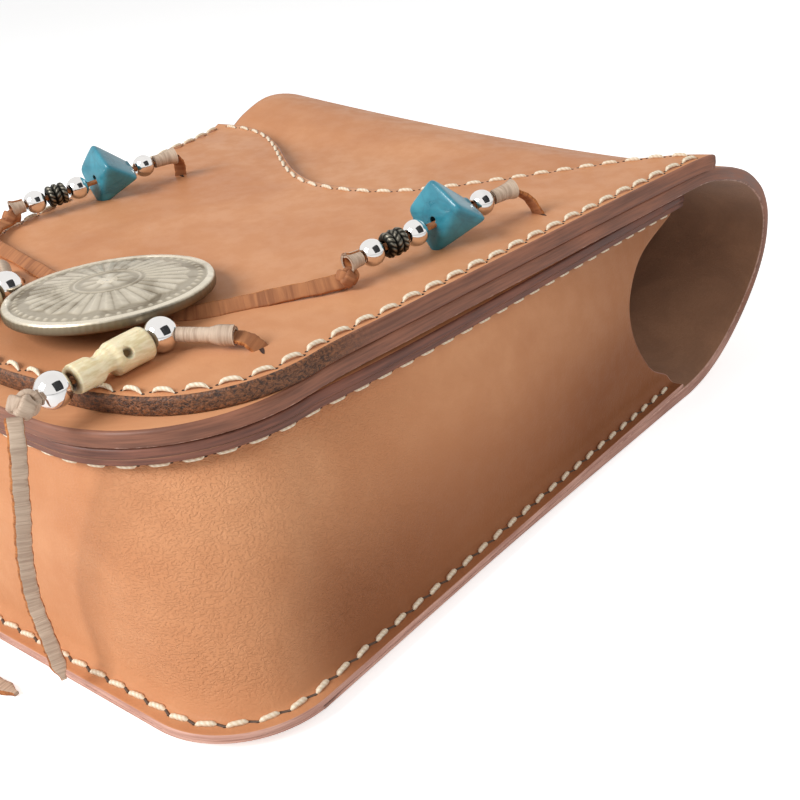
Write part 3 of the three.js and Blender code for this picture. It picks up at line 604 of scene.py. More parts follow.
tailLace("nearTail", lacePlan["nearTail"], lacePlan["nearTurn"], "near_bone_tail")
tailLace("farTail", lacePlan["farTail"], lacePlan["farTurn"], "far_bone_tail")

# The wrap: one sheet that is the back, the roll and the flap.
wrapRows = np.array(wrapPlan["rows"], float)


def liftPart(x):
    # 0 at the right-hand side, growing as a power of the distance to the left
    return np.maximum(0, (wrapPlan["liftPivot"] - x) / wrapPlan["liftSpan"]) ** wrapPlan["liftPower"]


def wrapRow(station):
    # Catmull-Rom through the rows
    last = len(wrapRows) - 1
    station = np.clip(station, 0, last)
    index = np.clip(np.floor(station).astype(int), 0, last - 1)
    t = (station - index)[..., None]
    a, b, c, d = (wrapRows[np.clip(index + k, 0, last)] for k in (-1, 0, 1, 2))
    return 0.5 * (2 * b + (c - a) * t + (2 * a - 5 * b + 4 * c - d) * t**2 + (3 * b - a - 3 * c + d) * t**3)


def wrapPoint(x, station, offset):
    # the outer face's point, pushed out by offset along the normal of its profile
    x, station = np.broadcast_arrays(np.asarray(x, float), np.asarray(station, float))
    part = liftPart(x)

    def at(s):
        row = wrapRow(s)
        y = row[..., 0] + (row[..., 2] - row[..., 0]) * part
        return y, np.maximum(0, row[..., 1] + (row[..., 3] - row[..., 1]) * part)

    before, here, after = at(station - 0.02), at(station), at(station + 0.02)
    dy, dz = after[0] - before[0], after[1] - before[1]
    length = np.maximum(np.hypot(dy, dz), 1e-9)
    return np.stack([x, here[0] + offset * dz / length, here[1] - offset * dy / length], -1)


flapStations = np.linspace(17, len(wrapRows) - 1, 600)
flapYs = wrapRow(flapStations)[:, 0]


def flapStation(y):
    return np.interp(np.asarray(y, float), flapYs[::-1], flapStations[::-1])


def cornered(halfWidth, distance, radius):
    # half width minus radius plus the arc's share, within one radius of the bottom edge
    rise = radius - np.clip(distance, 0, radius)
    return halfWidth - radius + np.sqrt(np.maximum(radius**2 - rise**2, 0))


def backCurl(x, y, offset):
    # rise * fade along y * fade over the distance to the rounded outline, full on the outer face, none on the inner
    radius = wrapPlan["backCorner"]
    out = np.stack([np.abs(x) - wrapPlan["backHalf"] + radius, wrapPlan["backBottom"] + radius - y], -1)
    inside = radius - np.linalg.norm(np.maximum(out, 0), axis=-1) - np.minimum(out.max(-1), 0)
    fade = smoothStep(y, 150, 55) * smoothStep(inside, wrapPlan["edgeWidth"], 1)
    return wrapPlan["edgeRise"] * fade * (1 + offset / wrapPlan["thickness"])


def wrapFace(u, v, inset, offset):
    side = 2 * u - 1
    backShare, flapShare, flatStep = wrapPlan["backShare"], wrapPlan["flapShare"], wrapPlan["flatStep"]
    low, corner = wrapPlan["backBottom"] + inset, wrapPlan["backBottom"] + wrapPlan["backCorner"]
    yBack = low + (corner - low) * eased(v / backShare)
    xBack = side * cornered(wrapPlan["backHalf"] - inset, yBack - low, wrapPlan["backCorner"] - inset)
    back = np.stack([xBack, yBack, backCurl(xBack, yBack, offset) - offset], -1)
    top = wrapPlan["flapBottom"] + wrapPlan["flapCorner"]
    topStation = flapStation(top)
    part = np.clip((v - backShare) / (flapShare - backShare), 0, 1)
    station = corner / flatStep + (topStation - corner / flatStep) * part
    middle = wrapPoint(side * (wrapRow(station)[..., 4] - inset), station, offset)
    middle[..., 2] += np.where(station < wrapPlan["curlRows"], backCurl(middle[..., 0], middle[..., 1], offset), 0)
    lowFlap = wrapPlan["flapBottom"] + inset
    share = np.clip((1 - v) / (1 - flapShare), 0, 1)
    yFlap = lowFlap + (top - lowFlap) * eased(share)
    xFlap = side * cornered(wrapRow(topStation)[4] - inset, yFlap - lowFlap, wrapPlan["flapCorner"] - inset)
    bow = wrapPlan["flapBulge"] * np.maximum(0, 1 - (xFlap / 30) ** 2) * (1 - share)
    flap = wrapPoint(xFlap, flapStation(yFlap - bow), offset)
    chosen = np.where((v < backShare)[..., None], back, middle)
    return np.where((v > flapShare)[..., None], flap, chosen)


def roundedRim(thickness, outerRadius, innerRadius, crown=0.0, steps=4):
    # (inset, depth) pairs down the edge: a quarter round, the straight part with a slight crown, a quarter round
    turn = np.linspace(0, np.pi / 2, steps + 1)
    upper = [(outerRadius * (1 - np.sin(a)) + crown, outerRadius * (1 - np.cos(a))) for a in turn]
    lower = [(innerRadius * (1 - np.sin(a)) + crown, thickness - innerRadius * (1 - np.cos(a))) for a in turn[::-1]]
    return upper + [(0.0, (outerRadius + thickness - innerRadius) / 2)] + lower


def leatherSheet(name, face, columns, rows, outer, rim, finish, marks=None):
    # two faces of one grid, and between them the sheet's own outline at each (inset, depth) of the rim
    u, v = np.meshgrid(np.linspace(0, 1, columns + 1), np.linspace(0, 1, rows + 1))
    inner = outer - rim[-1][1]
    faces = [face(u, v, rim[0][0], outer), face(u, v, rim[-1][0], inner)]
    alongI, alongJ = np.arange(columns), np.arange(rows)
    i = np.concatenate([alongI, np.full(rows, columns), columns - alongI, np.zeros(rows, int)])
    j = np.concatenate([np.zeros(columns, int), alongJ, np.full(columns, rows), rows - alongJ])
    rings = [face(i / columns, j / rows, inset, outer - depth) for inset, depth in rim[1:-1]]
    points = np.concatenate([f.reshape(-1, 3) for f in faces] + rings)
    cells, places = gridQuads(rows + 1, columns + 1)
    count, around = (rows + 1) * (columns + 1), len(i)
    loop = j * (columns + 1) + i
    between = [2 * count + k * around + np.arange(around) for k in range(len(rings))]
    ringIds = np.array([loop, *between, loop + count])
    a, b = ringIds[:-1], ringIds[1:]
    rimQuads = np.stack([np.roll(a, -1, 1), a, b, np.roll(b, -1, 1)], -1).reshape(-1, 4)
    across = np.linalg.norm(np.diff(faces[0][rows // 2], axis=0), axis=1).sum()
    reach = np.concatenate([[0], np.cumsum(np.linalg.norm(np.diff(faces[0][:, columns // 2], axis=0), axis=1))])
    faceUv = np.stack([places[..., 0] / columns * across, reach[places[..., 1]]], -1)
    outline = rings[len(rings) // 2]
    length = np.concatenate([[0], np.cumsum(np.linalg.norm(np.roll(outline, -1, 0) - outline, axis=1))])
    depths = np.array([depth for _, depth in rim])
    k, n = np.meshgrid(np.arange(len(rim) - 1), np.arange(around), indexing="ij")
    corners = [(1, 0), (0, 0), (0, 1), (1, 1)]
    rimUv = np.stack([np.stack([length[n + s], depths[k + t]], -1) for s, t in corners], -2)
    quads = np.concatenate([cells, rimQuads, cells[:, ::-1] + count])
    uv = np.concatenate([faceUv, rimUv.reshape(-1, 4, 2), faceUv[:, ::-1]])
    sides = np.repeat([0, 1, 2], [len(cells), len(rimQuads), len(cells)])
    return buildMesh(name, points, quads, finish, uv, (), sides, marks(points) if marks else None)


def seamMark(points):
    return {"seam": smoothStep(points[:, 2], 15, 5)}


wrapSheet = leatherSheet("wrapSheet", wrapFace, 36, 190, 0.0, roundedRim(wrapPlan["thickness"], 0.7, 0.4, 0.12),
                         [finishes["wrapGrain"], finishes["wrapEdge"], finishes["wrapFlesh"]], seamMark)
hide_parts("back_panel", "flap_panel")
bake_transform(wrapSheet)
print("wrap made")

# The overlay on the flap, with a sagging top edge between two raised tips.
overlayPlan = {
    "thickness": 3.0, "clearance": 0.06, "top": 3.3,       # top: how far its face is above the flap's
    "bottom": 8.4, "corner": 26.6, "bulge": 2.6, "cornerShare": 0.34,
    "tipWidth": 1.2, "rawFrom": 50.0, "rawTo": 34.0,
    "crest": 99.5, "crestMiddle": 4, "crestHalf": 70, "swell": 36, "swellSpan": 68, "swellPower": 2.4, "tilt": 0.09,
}


def overlayCrest(x):
    # crest + swell * sin ^ power of the distance from the middle, tilted evenly
    fromMiddle = x - overlayPlan["crestMiddle"]
    part = np.clip(np.abs(fromMiddle) / overlayPlan["swellSpan"], 0, 1)
    swell = np.sin(np.pi / 2 * part) ** overlayPlan["swellPower"]
    return overlayPlan["crest"] + overlayPlan["swell"] * swell + overlayPlan["tilt"] * fromMiddle


def overlayFace(u, v, inset, offset):
    side = 2 * u - 1
    share = overlayPlan["cornerShare"]
    low = overlayPlan["bottom"] + inset
    top = overlayPlan["bottom"] + overlayPlan["corner"]
    width = wrapRow(flapStation(top))[4]
    y = low + (top - low) * eased(v / share)
    x = side * cornered(width - inset, y - low, overlayPlan["corner"] - inset)
    bow = overlayPlan["bulge"] * np.maximum(0, 1 - (x / 30) ** 2) * (1 - np.clip(v / share, 0, 1))
    lower = wrapPoint(x, flapStation(y - bow), offset)
    part = np.clip((v - share) / (1 - share), 0, 1)
    across = side * overlayPlan["crestHalf"]
    slope = overlayCrest(across + 0.5) - overlayCrest(across - 0.5)
    crest = overlayCrest(across) - inset * np.sqrt(1 + slope**2)
    station = flapStation(top) + (flapStation(crest) - flapStation(top)) * part
    width = wrapRow(station)[..., 4] + overlayPlan["tipWidth"] * part**8 - inset
    upper = wrapPoint(side * width, station, offset)
    return np.where((v < share)[..., None], lower, upper)


def overlayTopAt(x, y):
    return wrapPoint(x, flapStation(y), overlayPlan["top"])[..., 2]


def overlayMarks(points):
    return {"raw": smoothStep(points[:, 1], overlayPlan["rawFrom"], overlayPlan["rawTo"])}


overlay = leatherSheet("overlayPanel", overlayFace, 56, 90, overlayPlan["top"],
                       roundedRim(overlayPlan["top"] - overlayPlan["clearance"], 0.6, 0.35, 0.1),
                       [finishes["overlayGrain"], finishes["overlayEdge"], finishes["overlayFlesh"]], overlayMarks)
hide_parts("overlay_panel")
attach(overlay, "flap")
print("overlay made")

# The front panel and the gusset between it and the back.
frontPlan = {
    "thickness": 1.75, "bottom": 1.75, "corner": 30.6, "top": 153.0, "base": 43.95, "cornerShare": 0.36,
    "slope": 0.0674, "sag": 0.000311, "lift": 4.6, "liftLoss": 1.4, "lossFrom": 54, "lossSpan": 72,
    "lowHalf": 50.9, "widening": 8.2, "wideFrom": 32.5, "wideSpan": 40,
}
gussetPlan = {
    "thickness": 1.1, "clearance": 0.04, "seamLow": 4.15, "baseRadius": 16.0, "baseInset": 3.5, "topInset": 2.2,
    "stripWidth": 62.0, "stripLength": 420.0,      # taken for the trim at its edges
    "cornerFrom": 0.18, "cornerTo": 0.5,           # the corner's stretch, as shares of half the strip
    "ends": [147.5, 138, 131.5, 127.8, 128.2, 135, 152.5],
    # share of the height, inset from the seam line, and Z above the seam's own level
    "section": [[0, -3.3, 0], [0, -0.6, 0], [0.02, 0.5, 0.9], [0.12, 0.3, 0], [0.3, -0.4, 0], [0.5, -0.9, 0],
                [0.7, -0.7, 0], [0.88, 0, 0], [0.98, 0.3, -0.9], [1, -0.5, 0], [1, -2.1, 0]],
}


def frontHeight(x, y):
    # a shallow crown along Y, raised towards -X as the flap is
    plan = frontPlan
    crown = plan["base"] + plan["slope"] * y - plan["sag"] * y * y
    loss = plan["liftLoss"] * np.clip((y - plan["lossFrom"]) / plan["lossSpan"], 0, 1)
    return crown + liftPart(x) * (plan["lift"] - loss)


def frontHalfWidth(y):
    # the low half width, widening towards a limit as 1 - e ^ (-distance / span)
    plan = frontPlan
    return plan["lowHalf"] + plan["widening"] * (1 - np.exp(-np.maximum(0, y - plan["wideFrom"]) / plan["wideSpan"]))


def frontFace(u, v, inset, offset):
    side = 2 * u - 1
    share = frontPlan["cornerShare"]
    low, top = frontPlan["bottom"] + inset, frontPlan["bottom"] + frontPlan["corner"]
    y = np.where(v < share, low + (top - low) * eased(v / share),
                 top + (frontPlan["top"] - inset - top) * np.clip((v - share) / (1 - share), 0, 1))
    x = side * cornered(frontHalfWidth(y) - inset, y - low, frontPlan["corner"] - inset)
    return np.stack([x, y, frontHeight(x, y) + offset], -1)


frontUnder = gussetPlan["thickness"] + gussetPlan["clearance"]
front = leatherSheet("frontPanel", frontFace, 32, 70, frontUnder + frontPlan["thickness"],
                     roundedRim(frontPlan["thickness"], 0.5, 0.12, 0.05),
                     [finishes["frontGrain"], finishes["frontEdge"], finishes["wrapFlesh"]], seamMark)
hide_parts("front_panel")
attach(front, "bag")


def wallPath(v, halfWidthAt, bottom, radius, end):
    # half of the bottom, a quarter round corner and one side, mirrored: point and outward direction
    mirror, half = np.where(v < 0.5, -1, 1), np.abs(v - 0.5) * 2
    centreY = bottom + radius
    centreX = halfWidthAt(centreY) - radius
    first, last = gussetPlan["cornerFrom"], gussetPlan["cornerTo"]
    angle = np.clip((half - first) / (last - first), 0, 1) * np.pi / 2
    y = centreY + (end - centreY) * np.clip((half - last) / (1 - last), 0, 1)
    sides = [mirror * centreX * half / first, mirror * (centreX + radius * np.sin(angle)), mirror * halfWidthAt(y)]
    ways = [np.full_like(y, bottom), centreY - radius * np.cos(angle), y]
    zone = [half < first, half < last]
    return np.stack([np.select(zone, sides[:2], sides[2]), np.select(zone, ways[:2], ways[2]),
                     mirror * np.sin(angle), -np.cos(angle)], -1)


def curveThrough(table, at):
    # Catmull-Rom through the rows of a table at places 0 to 1
    table = np.asarray(table, float).reshape(len(table), -1)
    last = len(table) - 1
    place = np.clip(at, 0, 1) * last
    index = np.clip(np.floor(place).astype(int), 0, last - 1)
    t = (place - index)[..., None]
    a, b, c, d = (table[np.clip(index + k, 0, last)] for k in (-1, 0, 1, 2))
    return 0.5 * (2 * b + (c - a) * t + (2 * a - 5 * b + 4 * c - d) * t**2 + (3 * b - a - 3 * c + d) * t**3)


def gussetOuter(u, v):
    section = curveThrough(gussetPlan["section"], u)
    height, inset, step = np.clip(section[..., 0], 0, 1), section[..., 1], section[..., 2]
    end = curveThrough(gussetPlan["ends"], height)[..., 0]
    low = wallPath(v, lambda y: np.full_like(y, wrapPlan["backHalf"] - gussetPlan["baseInset"]),
                   wrapPlan["backBottom"] + gussetPlan["baseInset"], gussetPlan["baseRadius"], end)
    high = wallPath(v, lambda y: frontHalfWidth(y) - gussetPlan["topInset"],
                    frontPlan["bottom"] + gussetPlan["topInset"], frontPlan["corner"] - gussetPlan["topInset"], end)
    between = low + (high - low) * height[..., None]
    x = between[..., 0] - between[..., 2] * inset
    y = between[..., 1] - between[..., 3] * inset
    level = gussetPlan["seamLow"] + (frontHeight(x, y) - gussetPlan["seamLow"]) * height
    return np.stack([x, y, level + step], -1)


def gussetFace(u, v, inset, offset):
    # the outer face, moved inwards along its normal; the inset trims all four edges
    trimU, trimV = inset / gussetPlan["stripWidth"], inset / gussetPlan["stripLength"]
    u = trimU + (1 - 2 * trimU) * u
    v = trimV + (1 - 2 * trimV) * v
    step = 0.002
    alongU = gussetOuter(np.clip(u + step, 0, 1), v) - gussetOuter(np.clip(u - step, 0, 1), v)
    alongV = gussetOuter(u, np.clip(v + step, 0, 1)) - gussetOuter(u, np.clip(v - step, 0, 1))
    return gussetOuter(u, v) + unit(np.cross(alongV, alongU)) * offset


# where each mark fades in, from the first place to the second
gussetZones = {
    "cornerY": (64, 20), "cornerX": (12, 40), "creaseZ": (4, 12), "sideX": (44, 58), "sideY": (6, 30),
    "lowZ": (38, 10), "lowY": (100, 20), "rollY": (60, 140), "darkest": 0.85,
}


def gussetMarks(points):
    # wrinkled round the two formed corners; painted shade low down on the sides, and towards the roll partly darker
    # leather and partly painted shade
    x, y, z = points.T
    zones = gussetZones
    corner = smoothStep(y, *zones["cornerY"]) * smoothStep(np.abs(x), *zones["cornerX"])
    side = smoothStep(np.abs(x), *zones["sideX"]) * smoothStep(y, *zones["sideY"])
    low = smoothStep(z, *zones["lowZ"]) * (0.5 + 0.3 * smoothStep(y, *zones["lowY"]))
    # painted shade low on the sides; towards the roll it is partly darker leather and partly painted shade
    paintedShade = side * (low + 0.55 * smoothStep(y, *zones["rollY"]))
    return {"crease": np.clip(corner * smoothStep(z, *zones["creaseZ"]), 0, 1), **seamMark(points),
            "paintedShade": np.clip(paintedShade, 0, zones["darkest"])}


gusset = leatherSheet("gusset", gussetFace, 60, 220, 0.0, roundedRim(gussetPlan["thickness"], 0.35, 0.2, 0.04, 2),
                      [finishes["gussetGrain"], finishes["frontEdge"], finishes["wrapFlesh"]], gussetMarks)
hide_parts("gusset")
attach(gusset, "bag")
print("front and gusset made")

# Stitches: separate arcs of twisted thread that dive into holes shown as dark plugs of painted shade.
stitchPlan = {"steps": 9, "sides": 6, "holeSides": 8, "ply": 0.06, "gapRadius": 0.3, "hole": 0.55}


def stitchRow(name, path, normals, body, slot, pitch, length, radius, rise, slant, bow=0.0, joined=False):
    # centre = path + normal * rise * (1 - a^4) + sideways * (slant * a + bow * (1 - a^2)), for a from -1 to 1 along
    # each stitch; joined rows show the dark thread of the other side between the stitches
    fine = evenSteps(np.hstack([path, normals]), 2400)
    line, up = fine[:, :3], unit(fine[:, 3:])
    reach = np.concatenate([[0], np.cumsum(np.linalg.norm(np.diff(line, axis=0), axis=1))])
    count = int((reach[-1] - length) // pitch)
    starts = length / 2 + (np.arange(count) + 0.5) * (reach[-1] - length) / count
    a = np.linspace(-1, 1, stitchPlan["steps"])[None]
    at = starts[:, None] + a * length / 2
    pick = lambda values: np.stack([np.interp(at, reach, values[:, k]) for k in range(3)], -1)
    along = unit(np.gradient(line, axis=0))
    normal, direction = unit(pick(up)), unit(pick(along))
    sideways = unit(np.cross(direction, normal))
    seed = np.arange(count)[:, None]
    wobble = 1 + 0.12 * np.sin(seed * 2.399) + 0.06 * np.sin(seed * 5.1)
    height = rise * wobble * (1 - a**4) - 0.25 * radius * a**4
    aside = slant * a * wobble + bow * (1 - a**2)
    centres = pick(line) + normal * height[..., None] + sideways * aside[..., None]
    angle = np.arange(stitchPlan["sides"]) / stitchPlan["sides"] * 2 * np.pi
    thick = radius * np.sqrt(np.maximum(1 - np.abs(a) ** 6, 0.06))
    twist = 1 + stitchPlan["ply"] * np.cos(2 * angle[None, None] + 5.0 * a[..., None])
    ring = np.stack([np.cos(angle), np.sin(angle)], -1)
    section = ring[None, None] * (np.broadcast_to(thick, (count, a.shape[1]))[..., None] * twist)[..., None]
    piece = tubes(name, centres, normal, sideways, section, [finishes["thread"]])
    # at each end of a stitch a small dark plug of painted shade stands for its hole
    holeAngle = np.arange(stitchPlan["holeSides"]) / stitchPlan["holeSides"] * 2 * np.pi
    ends = np.concatenate([centres[:, 0], centres[:, -1]]), np.concatenate([normal[:, 0], normal[:, -1]])
    ways = np.concatenate([direction[:, 0], -direction[:, -1]])
    across = np.cross(ways, ends[1])
    base = ends[0] + ends[1] * 0.25 * radius
    heights = np.array([-0.3, 0.035])
    holeCentres = base[:, None] + ends[1][:, None] * heights[None, :, None] - ways[:, None] * 0.12
    holeRing = np.stack([np.cos(holeAngle) * 1.25, np.sin(holeAngle)], -1) * stitchPlan["hole"] / 2
    spread = np.stack([holeRing * 0.9, holeRing])
    repeated = lambda values: np.repeat(values[:, None], 2, 1)
    holes = tubes(name + "Holes", holeCentres, repeated(ways), repeated(across), spread, [finishes["hole"]])
    pieces = [piece, holes]
    if joined:
        share = np.linspace(0, 1, 5)[None, :, None]
        bridge = centres[:-1, -1:] * (1 - share) + centres[1:, :1] * share
        flat = [np.repeat(values[:-1, -1:], 5, 1) for values in (normal, sideways)]
        thin = ring[None, None] * stitchPlan["gapRadius"]
        pieces.append(tubes(name + "Gaps", bridge, *flat, np.broadcast_to(thin, (1, 5, *ring.shape)),
                            [finishes["gapThread"]]))
    for part in pieces:
        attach(part, body)
    return count


def outlinePath(face, inset, offset, columns, rows, top=False):
    # the sheet's outline from one top corner round the bottom to the other, or only along its top
    if top:
        u, v = np.linspace(0, 1, 160), np.ones(160)
    else:
        u = np.concatenate([np.zeros(rows), np.arange(columns) / columns, np.ones(rows + 1)])
        v = np.concatenate([1 - np.arange(rows) / rows, np.zeros(columns), np.arange(rows + 1) / rows])
    path = face(u, v, inset, offset)
    return path, unit(face(u, v, inset, offset + 1) - path)


def backSeamPath():
    corner, inset = 17.0, 2.5
    half, low = wrapPlan["backHalf"] - inset, wrapPlan["backBottom"] + inset
    turn = np.linspace(0, np.pi / 2, 30)
    right = np.stack([half - corner + corner * np.sin(turn), low + corner - corner * np.cos(turn)], -1)
    left = right[::-1] * [-1, 1]
    sideYs = np.linspace(146, low + corner, 60)
    side = np.stack([np.full(60, half), sideYs], -1)
    flat = np.vstack([side * [-1, 1], left, right, side[::-1]])
    path = np.hstack([flat, np.full((len(flat), 1), gussetPlan["seamLow"])])
    return path, np.broadcast_to([0.0, 0.0, 1.0], path.shape).copy()


def frontSeamPath():
    u = np.concatenate([np.zeros(60), np.arange(40) / 40, np.ones(61)])
    v = np.concatenate([0.985 - 0.985 * np.arange(60) / 60, np.zeros(40), 0.985 * np.arange(61) / 60])
    path = frontFace(u, v, 1.15, -0.55)
    edge = frontFace(u, v, 0.0, -0.55)
    outward = unit(edge - path)
    return path, unit(outward * 0.8 + np.array([0, 0, -0.35]))


counts = [
    stitchRow("backSeam", *backSeamPath(), "bag", "gusset_leather", 5.2, 3.7, 0.5, 0.24, -0.25, joined=True),
    stitchRow("frontSeam", *frontSeamPath(), "bag", "gusset_leather", 5.3, 3.6, 0.4, 0.16, 0.1),
    stitchRow("overlaySideSeam", *outlinePath(overlayFace, 1.75, overlayPlan["top"], 40, 80), "flap",
              "overlay_leather", 5.3, 4.0, 0.42, 0.62, 0.3, bow=-0.35),
    stitchRow("overlayTopSeam", *outlinePath(overlayFace, 2.3, overlayPlan["top"], 40, 80, True), "flap",
              "overlay_leather", 4.9, 3.4, 0.42, 0.28, 0.15),
]
print("stitches made:", counts)

# The domed disc: plain field, feather rays and a beaded border, all of a generic kind.
discPlan = {
    "centre": (5.0, 30.6), "standoff": 2.5, "facing": (-0.02, 0.01, 1.0), "radius": 19.05, "edge": 2.2, "dome": 1.6,
    "rays": 32, "beads": 56, "petals": 8, "rings": 130, "around": 320,
    # shares of the radius
    "rimAt": (0.915, 0.94), "rimFall": (0.985, 1.0), "beadAt": 0.868, "beadHalf": 0.03,
    "rayFrom": (0.34, 0.37), "rayTo": 0.80, "rayTaper": 0.06, "ringAt": 0.31, "ringHalf": 0.012,
    "petalTo": (0.26, 0.2), "petalFrom": (0.02, 0.1), "heartTo": (0.09, 0.06),
    # heights in millimetres
    "rimHigh": 0.42, "beadHigh": 0.26, "rayHigh": 0.24, "ringHigh": 0.18, "petalHigh": 0.22, "heartHigh": 0.26,
}
flapNormal = unit(np.array([0.04, -0.066, 1.0]))


def standing(direction):
    # across, along and up for a shape that runs along a direction and stays as upright as it can
    upright = np.array([0, 1.0, 0]) if abs(direction[2]) > 0.9 else np.array([0, 0, 1.0])
    across = unit(np.cross(direction, upright))
    return across, direction, np.cross(across, direction)


def discRelief(radius, angle):
    # height over (radius, angle): a raised rim, a ring of beads, rays with a quill and slanting barbs, and petals
    plan = discPlan
    share = radius / plan["radius"]
    rim = smoothStep(share, *plan["rimAt"]) - 0.6 * smoothStep(share, *plan["rimFall"])
    beadRing = np.maximum(0, 1 - ((share - plan["beadAt"]) / plan["beadHalf"]) ** 2)
    bead = np.maximum(0, np.cos(plan["beads"] * angle)) ** 0.5 * beadRing
    rayPlace = (angle * plan["rays"] / (2 * np.pi)) % 1
    length = plan["rayTo"] - plan["rayTaper"] * np.abs(2 * ((angle * plan["rays"] / (4 * np.pi)) % 1) - 1)
    inRay = smoothStep(share, *plan["rayFrom"]) * smoothStep(share, length, length - 0.03)
    quill = np.exp(-((rayPlace - 0.5) / 0.07) ** 2)
    barbs = 0.5 + 0.5 * np.cos(2 * np.pi * (share * 46 + 2.4 * np.abs(rayPlace - 0.5)))
    feather = np.sqrt(np.maximum(0, 1 - (2 * rayPlace - 1) ** 2)) * (0.75 + 0.2 * barbs) + 0.3 * quill
    ringLine = np.exp(-((share - plan["ringAt"]) / plan["ringHalf"]) ** 2)
    petal = np.abs(np.cos(plan["petals"] / 2 * angle))
    petal = petal * smoothStep(share, *plan["petalTo"]) * smoothStep(share, *plan["petalFrom"])
    heart = smoothStep(share, *plan["heartTo"])
    return (plan["rimHigh"] * rim + plan["beadHigh"] * bead + plan["rayHigh"] * inRay * feather
            + plan["ringHigh"] * ringLine + plan["petalHigh"] * petal + plan["heartHigh"] * heart)


def makeDisc():
    plan = discPlan
    seat = np.array([*plan["centre"], float(overlayTopAt(*plan["centre"]))]) + flapNormal * plan["standoff"]
    across, along, up = standing(unit(np.array(plan["facing"])))
    angle = np.arange(plan["around"]) / plan["around"] * 2 * np.pi
    inner = np.linspace(0.25, plan["radius"] - 0.25, plan["rings"])
    topHeight = plan["edge"] - 0.62 + plan["dome"] * (1 - (inner / plan["radius"]) ** 2)
    relief = discRelief(inner[:, None], angle[None])
    reeds = 0.05 * np.cos(100 * angle)[None]
    edgeRadius = np.array([plan["radius"] - 0.08, plan["radius"], plan["radius"], plan["radius"] - 0.15, 14.0, 4.0])
    edgeHeight = np.array([plan["edge"] - 0.5, plan["edge"] - 0.65, 0.3, 0.05, 0.0, 0.0])
    radius = np.concatenate([np.broadcast_to(inner[:, None], relief.shape),
                             edgeRadius[:, None] + reeds * np.array([0, 1, 1, 0, 0, 0])[:, None]])
    height = np.concatenate([topHeight[:, None] + relief, np.broadcast_to(edgeHeight[:, None], (6, len(angle)))])
    points = (seat + radius[..., None] * (np.cos(angle)[None, :, None] * across + np.sin(angle)[None, :, None] * up)
              + height[..., None] * along)
    rows = len(radius)
    quads, _ = gridQuads(rows, len(angle), True)
    caps = [list(range(len(angle)))[::-1], list(range((rows - 1) * len(angle), rows * len(angle)))]
    # patina in the relief's hollows; the disc's side, from just under its lip down, and its underside are marked fully
    # dark as painted shade
    depth = np.concatenate([np.clip(1 - relief / 0.3, 0, 1) * 0.6 * (inner[:, None] / plan["radius"] > 0.1),
                            np.repeat([[0.6], [1.0], [1.4], [1.4], [1.4], [1.4]], len(angle), 1)])
    disc = buildMesh("conchoDisc", points.reshape(-1, 3), quads, [finishes["discSilver"]], None, caps, None,
                     {"recess": depth})
    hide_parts("concho_disc")
    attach(disc, "flap")


makeDisc()
for nodeName, key in (("concho_post", "discSilver"), ("snap_socket", "snapMetal"), ("snap_stud", "snapMetal")):
    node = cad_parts[nodeName]
    node.data.materials.clear()
    node.data.materials.append(finishes[key])
print("disc made")

# Beads: each is a radius over (step along, angle round) carried along its string.
beadPlan = {
    "silver": 2.5, "bigSilver": 3.05, "bore": 1.25, "gap": 0.3, "knotBack": 3.2, "stone": 11.0, "bone": 14.4,
    # corners of the stone: along the string to its lower end, across it, and up
    "stoneCorners": [[1.6, 1.5, 8.6], [5.1, 6.6, 2.4], [4.5, 1.0, -6.6], [2.5, -6.4, 4.2], [-4.6, -6.2, -0.8],
                     [-5.9, 1.0, 1.4]],
    "stoneBore": 0.9, "stoneHole": 1.45, "stoneSharp": 10.0,
    "ballBore": 1.05, "ropeBore": 1.15, "boneBore": 1.3,        # inner walls, hidden by the laces
    "ropeHalf": 2.25, "ropeRadius": 2.3, "ropeBands": 3, "ropeWires": 7, "ropeSlant": 2.2,
    "boneRadius": 2.62, "boneSwell": 0.42, "boneHole": (-2.1, 157), "boneHoleRadius": 0.92, "boneHoleDepth": 1.1,
    "boneNotches": [(2.2, 72, 0.95), (1.0, -112, 1.1)],         # place along, degrees round, depth
}


def turned(name, centre, direction, along, radius, bore, finish, node, marks=None):
    # points = centre + direction * along + radius * (across cos + up sin); the bore's wall closes the loop
    across, way, up = standing(direction)
    sides = radius.shape[1]
    angle = np.arange(sides) / sides * 2 * np.pi
    along = np.concatenate([along, along[::-1][[0, -1]]])
    radius = np.concatenate([radius, np.full((2, sides), bore)])
    marks = {key: np.concatenate([value, np.ones((2, sides))]) for key, value in (marks or {}).items()}
    around = np.cos(angle)[None, :, None] * across + np.sin(angle)[None, :, None] * up
    points = (centre + along[:, None] * way)[:, None] + radius[..., None] * around
    rows = len(along)
    quads, places = gridQuads(rows, sides, True, True)
    uv = places[..., ::-1] * np.array([np.ptp(along) / rows, 2 * np.pi * float(radius.mean()) / sides])
    piece = buildMesh(name, points.reshape(-1, 3), quads, [finish], uv, marks=marks)
    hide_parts(node)
    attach(piece, "flap")


def silverBall(name, centre, direction, radius, node):
    polar = np.linspace(np.arcsin(beadPlan["bore"] / radius), np.pi - np.arcsin(beadPlan["bore"] / radius), 22)
    ring = np.repeat((radius * np.sin(polar))[:, None], 36, 1)
    turned(name, centre, direction, -radius * np.cos(polar), ring, beadPlan["ballBore"], finishes["ballSilver"],
           node)


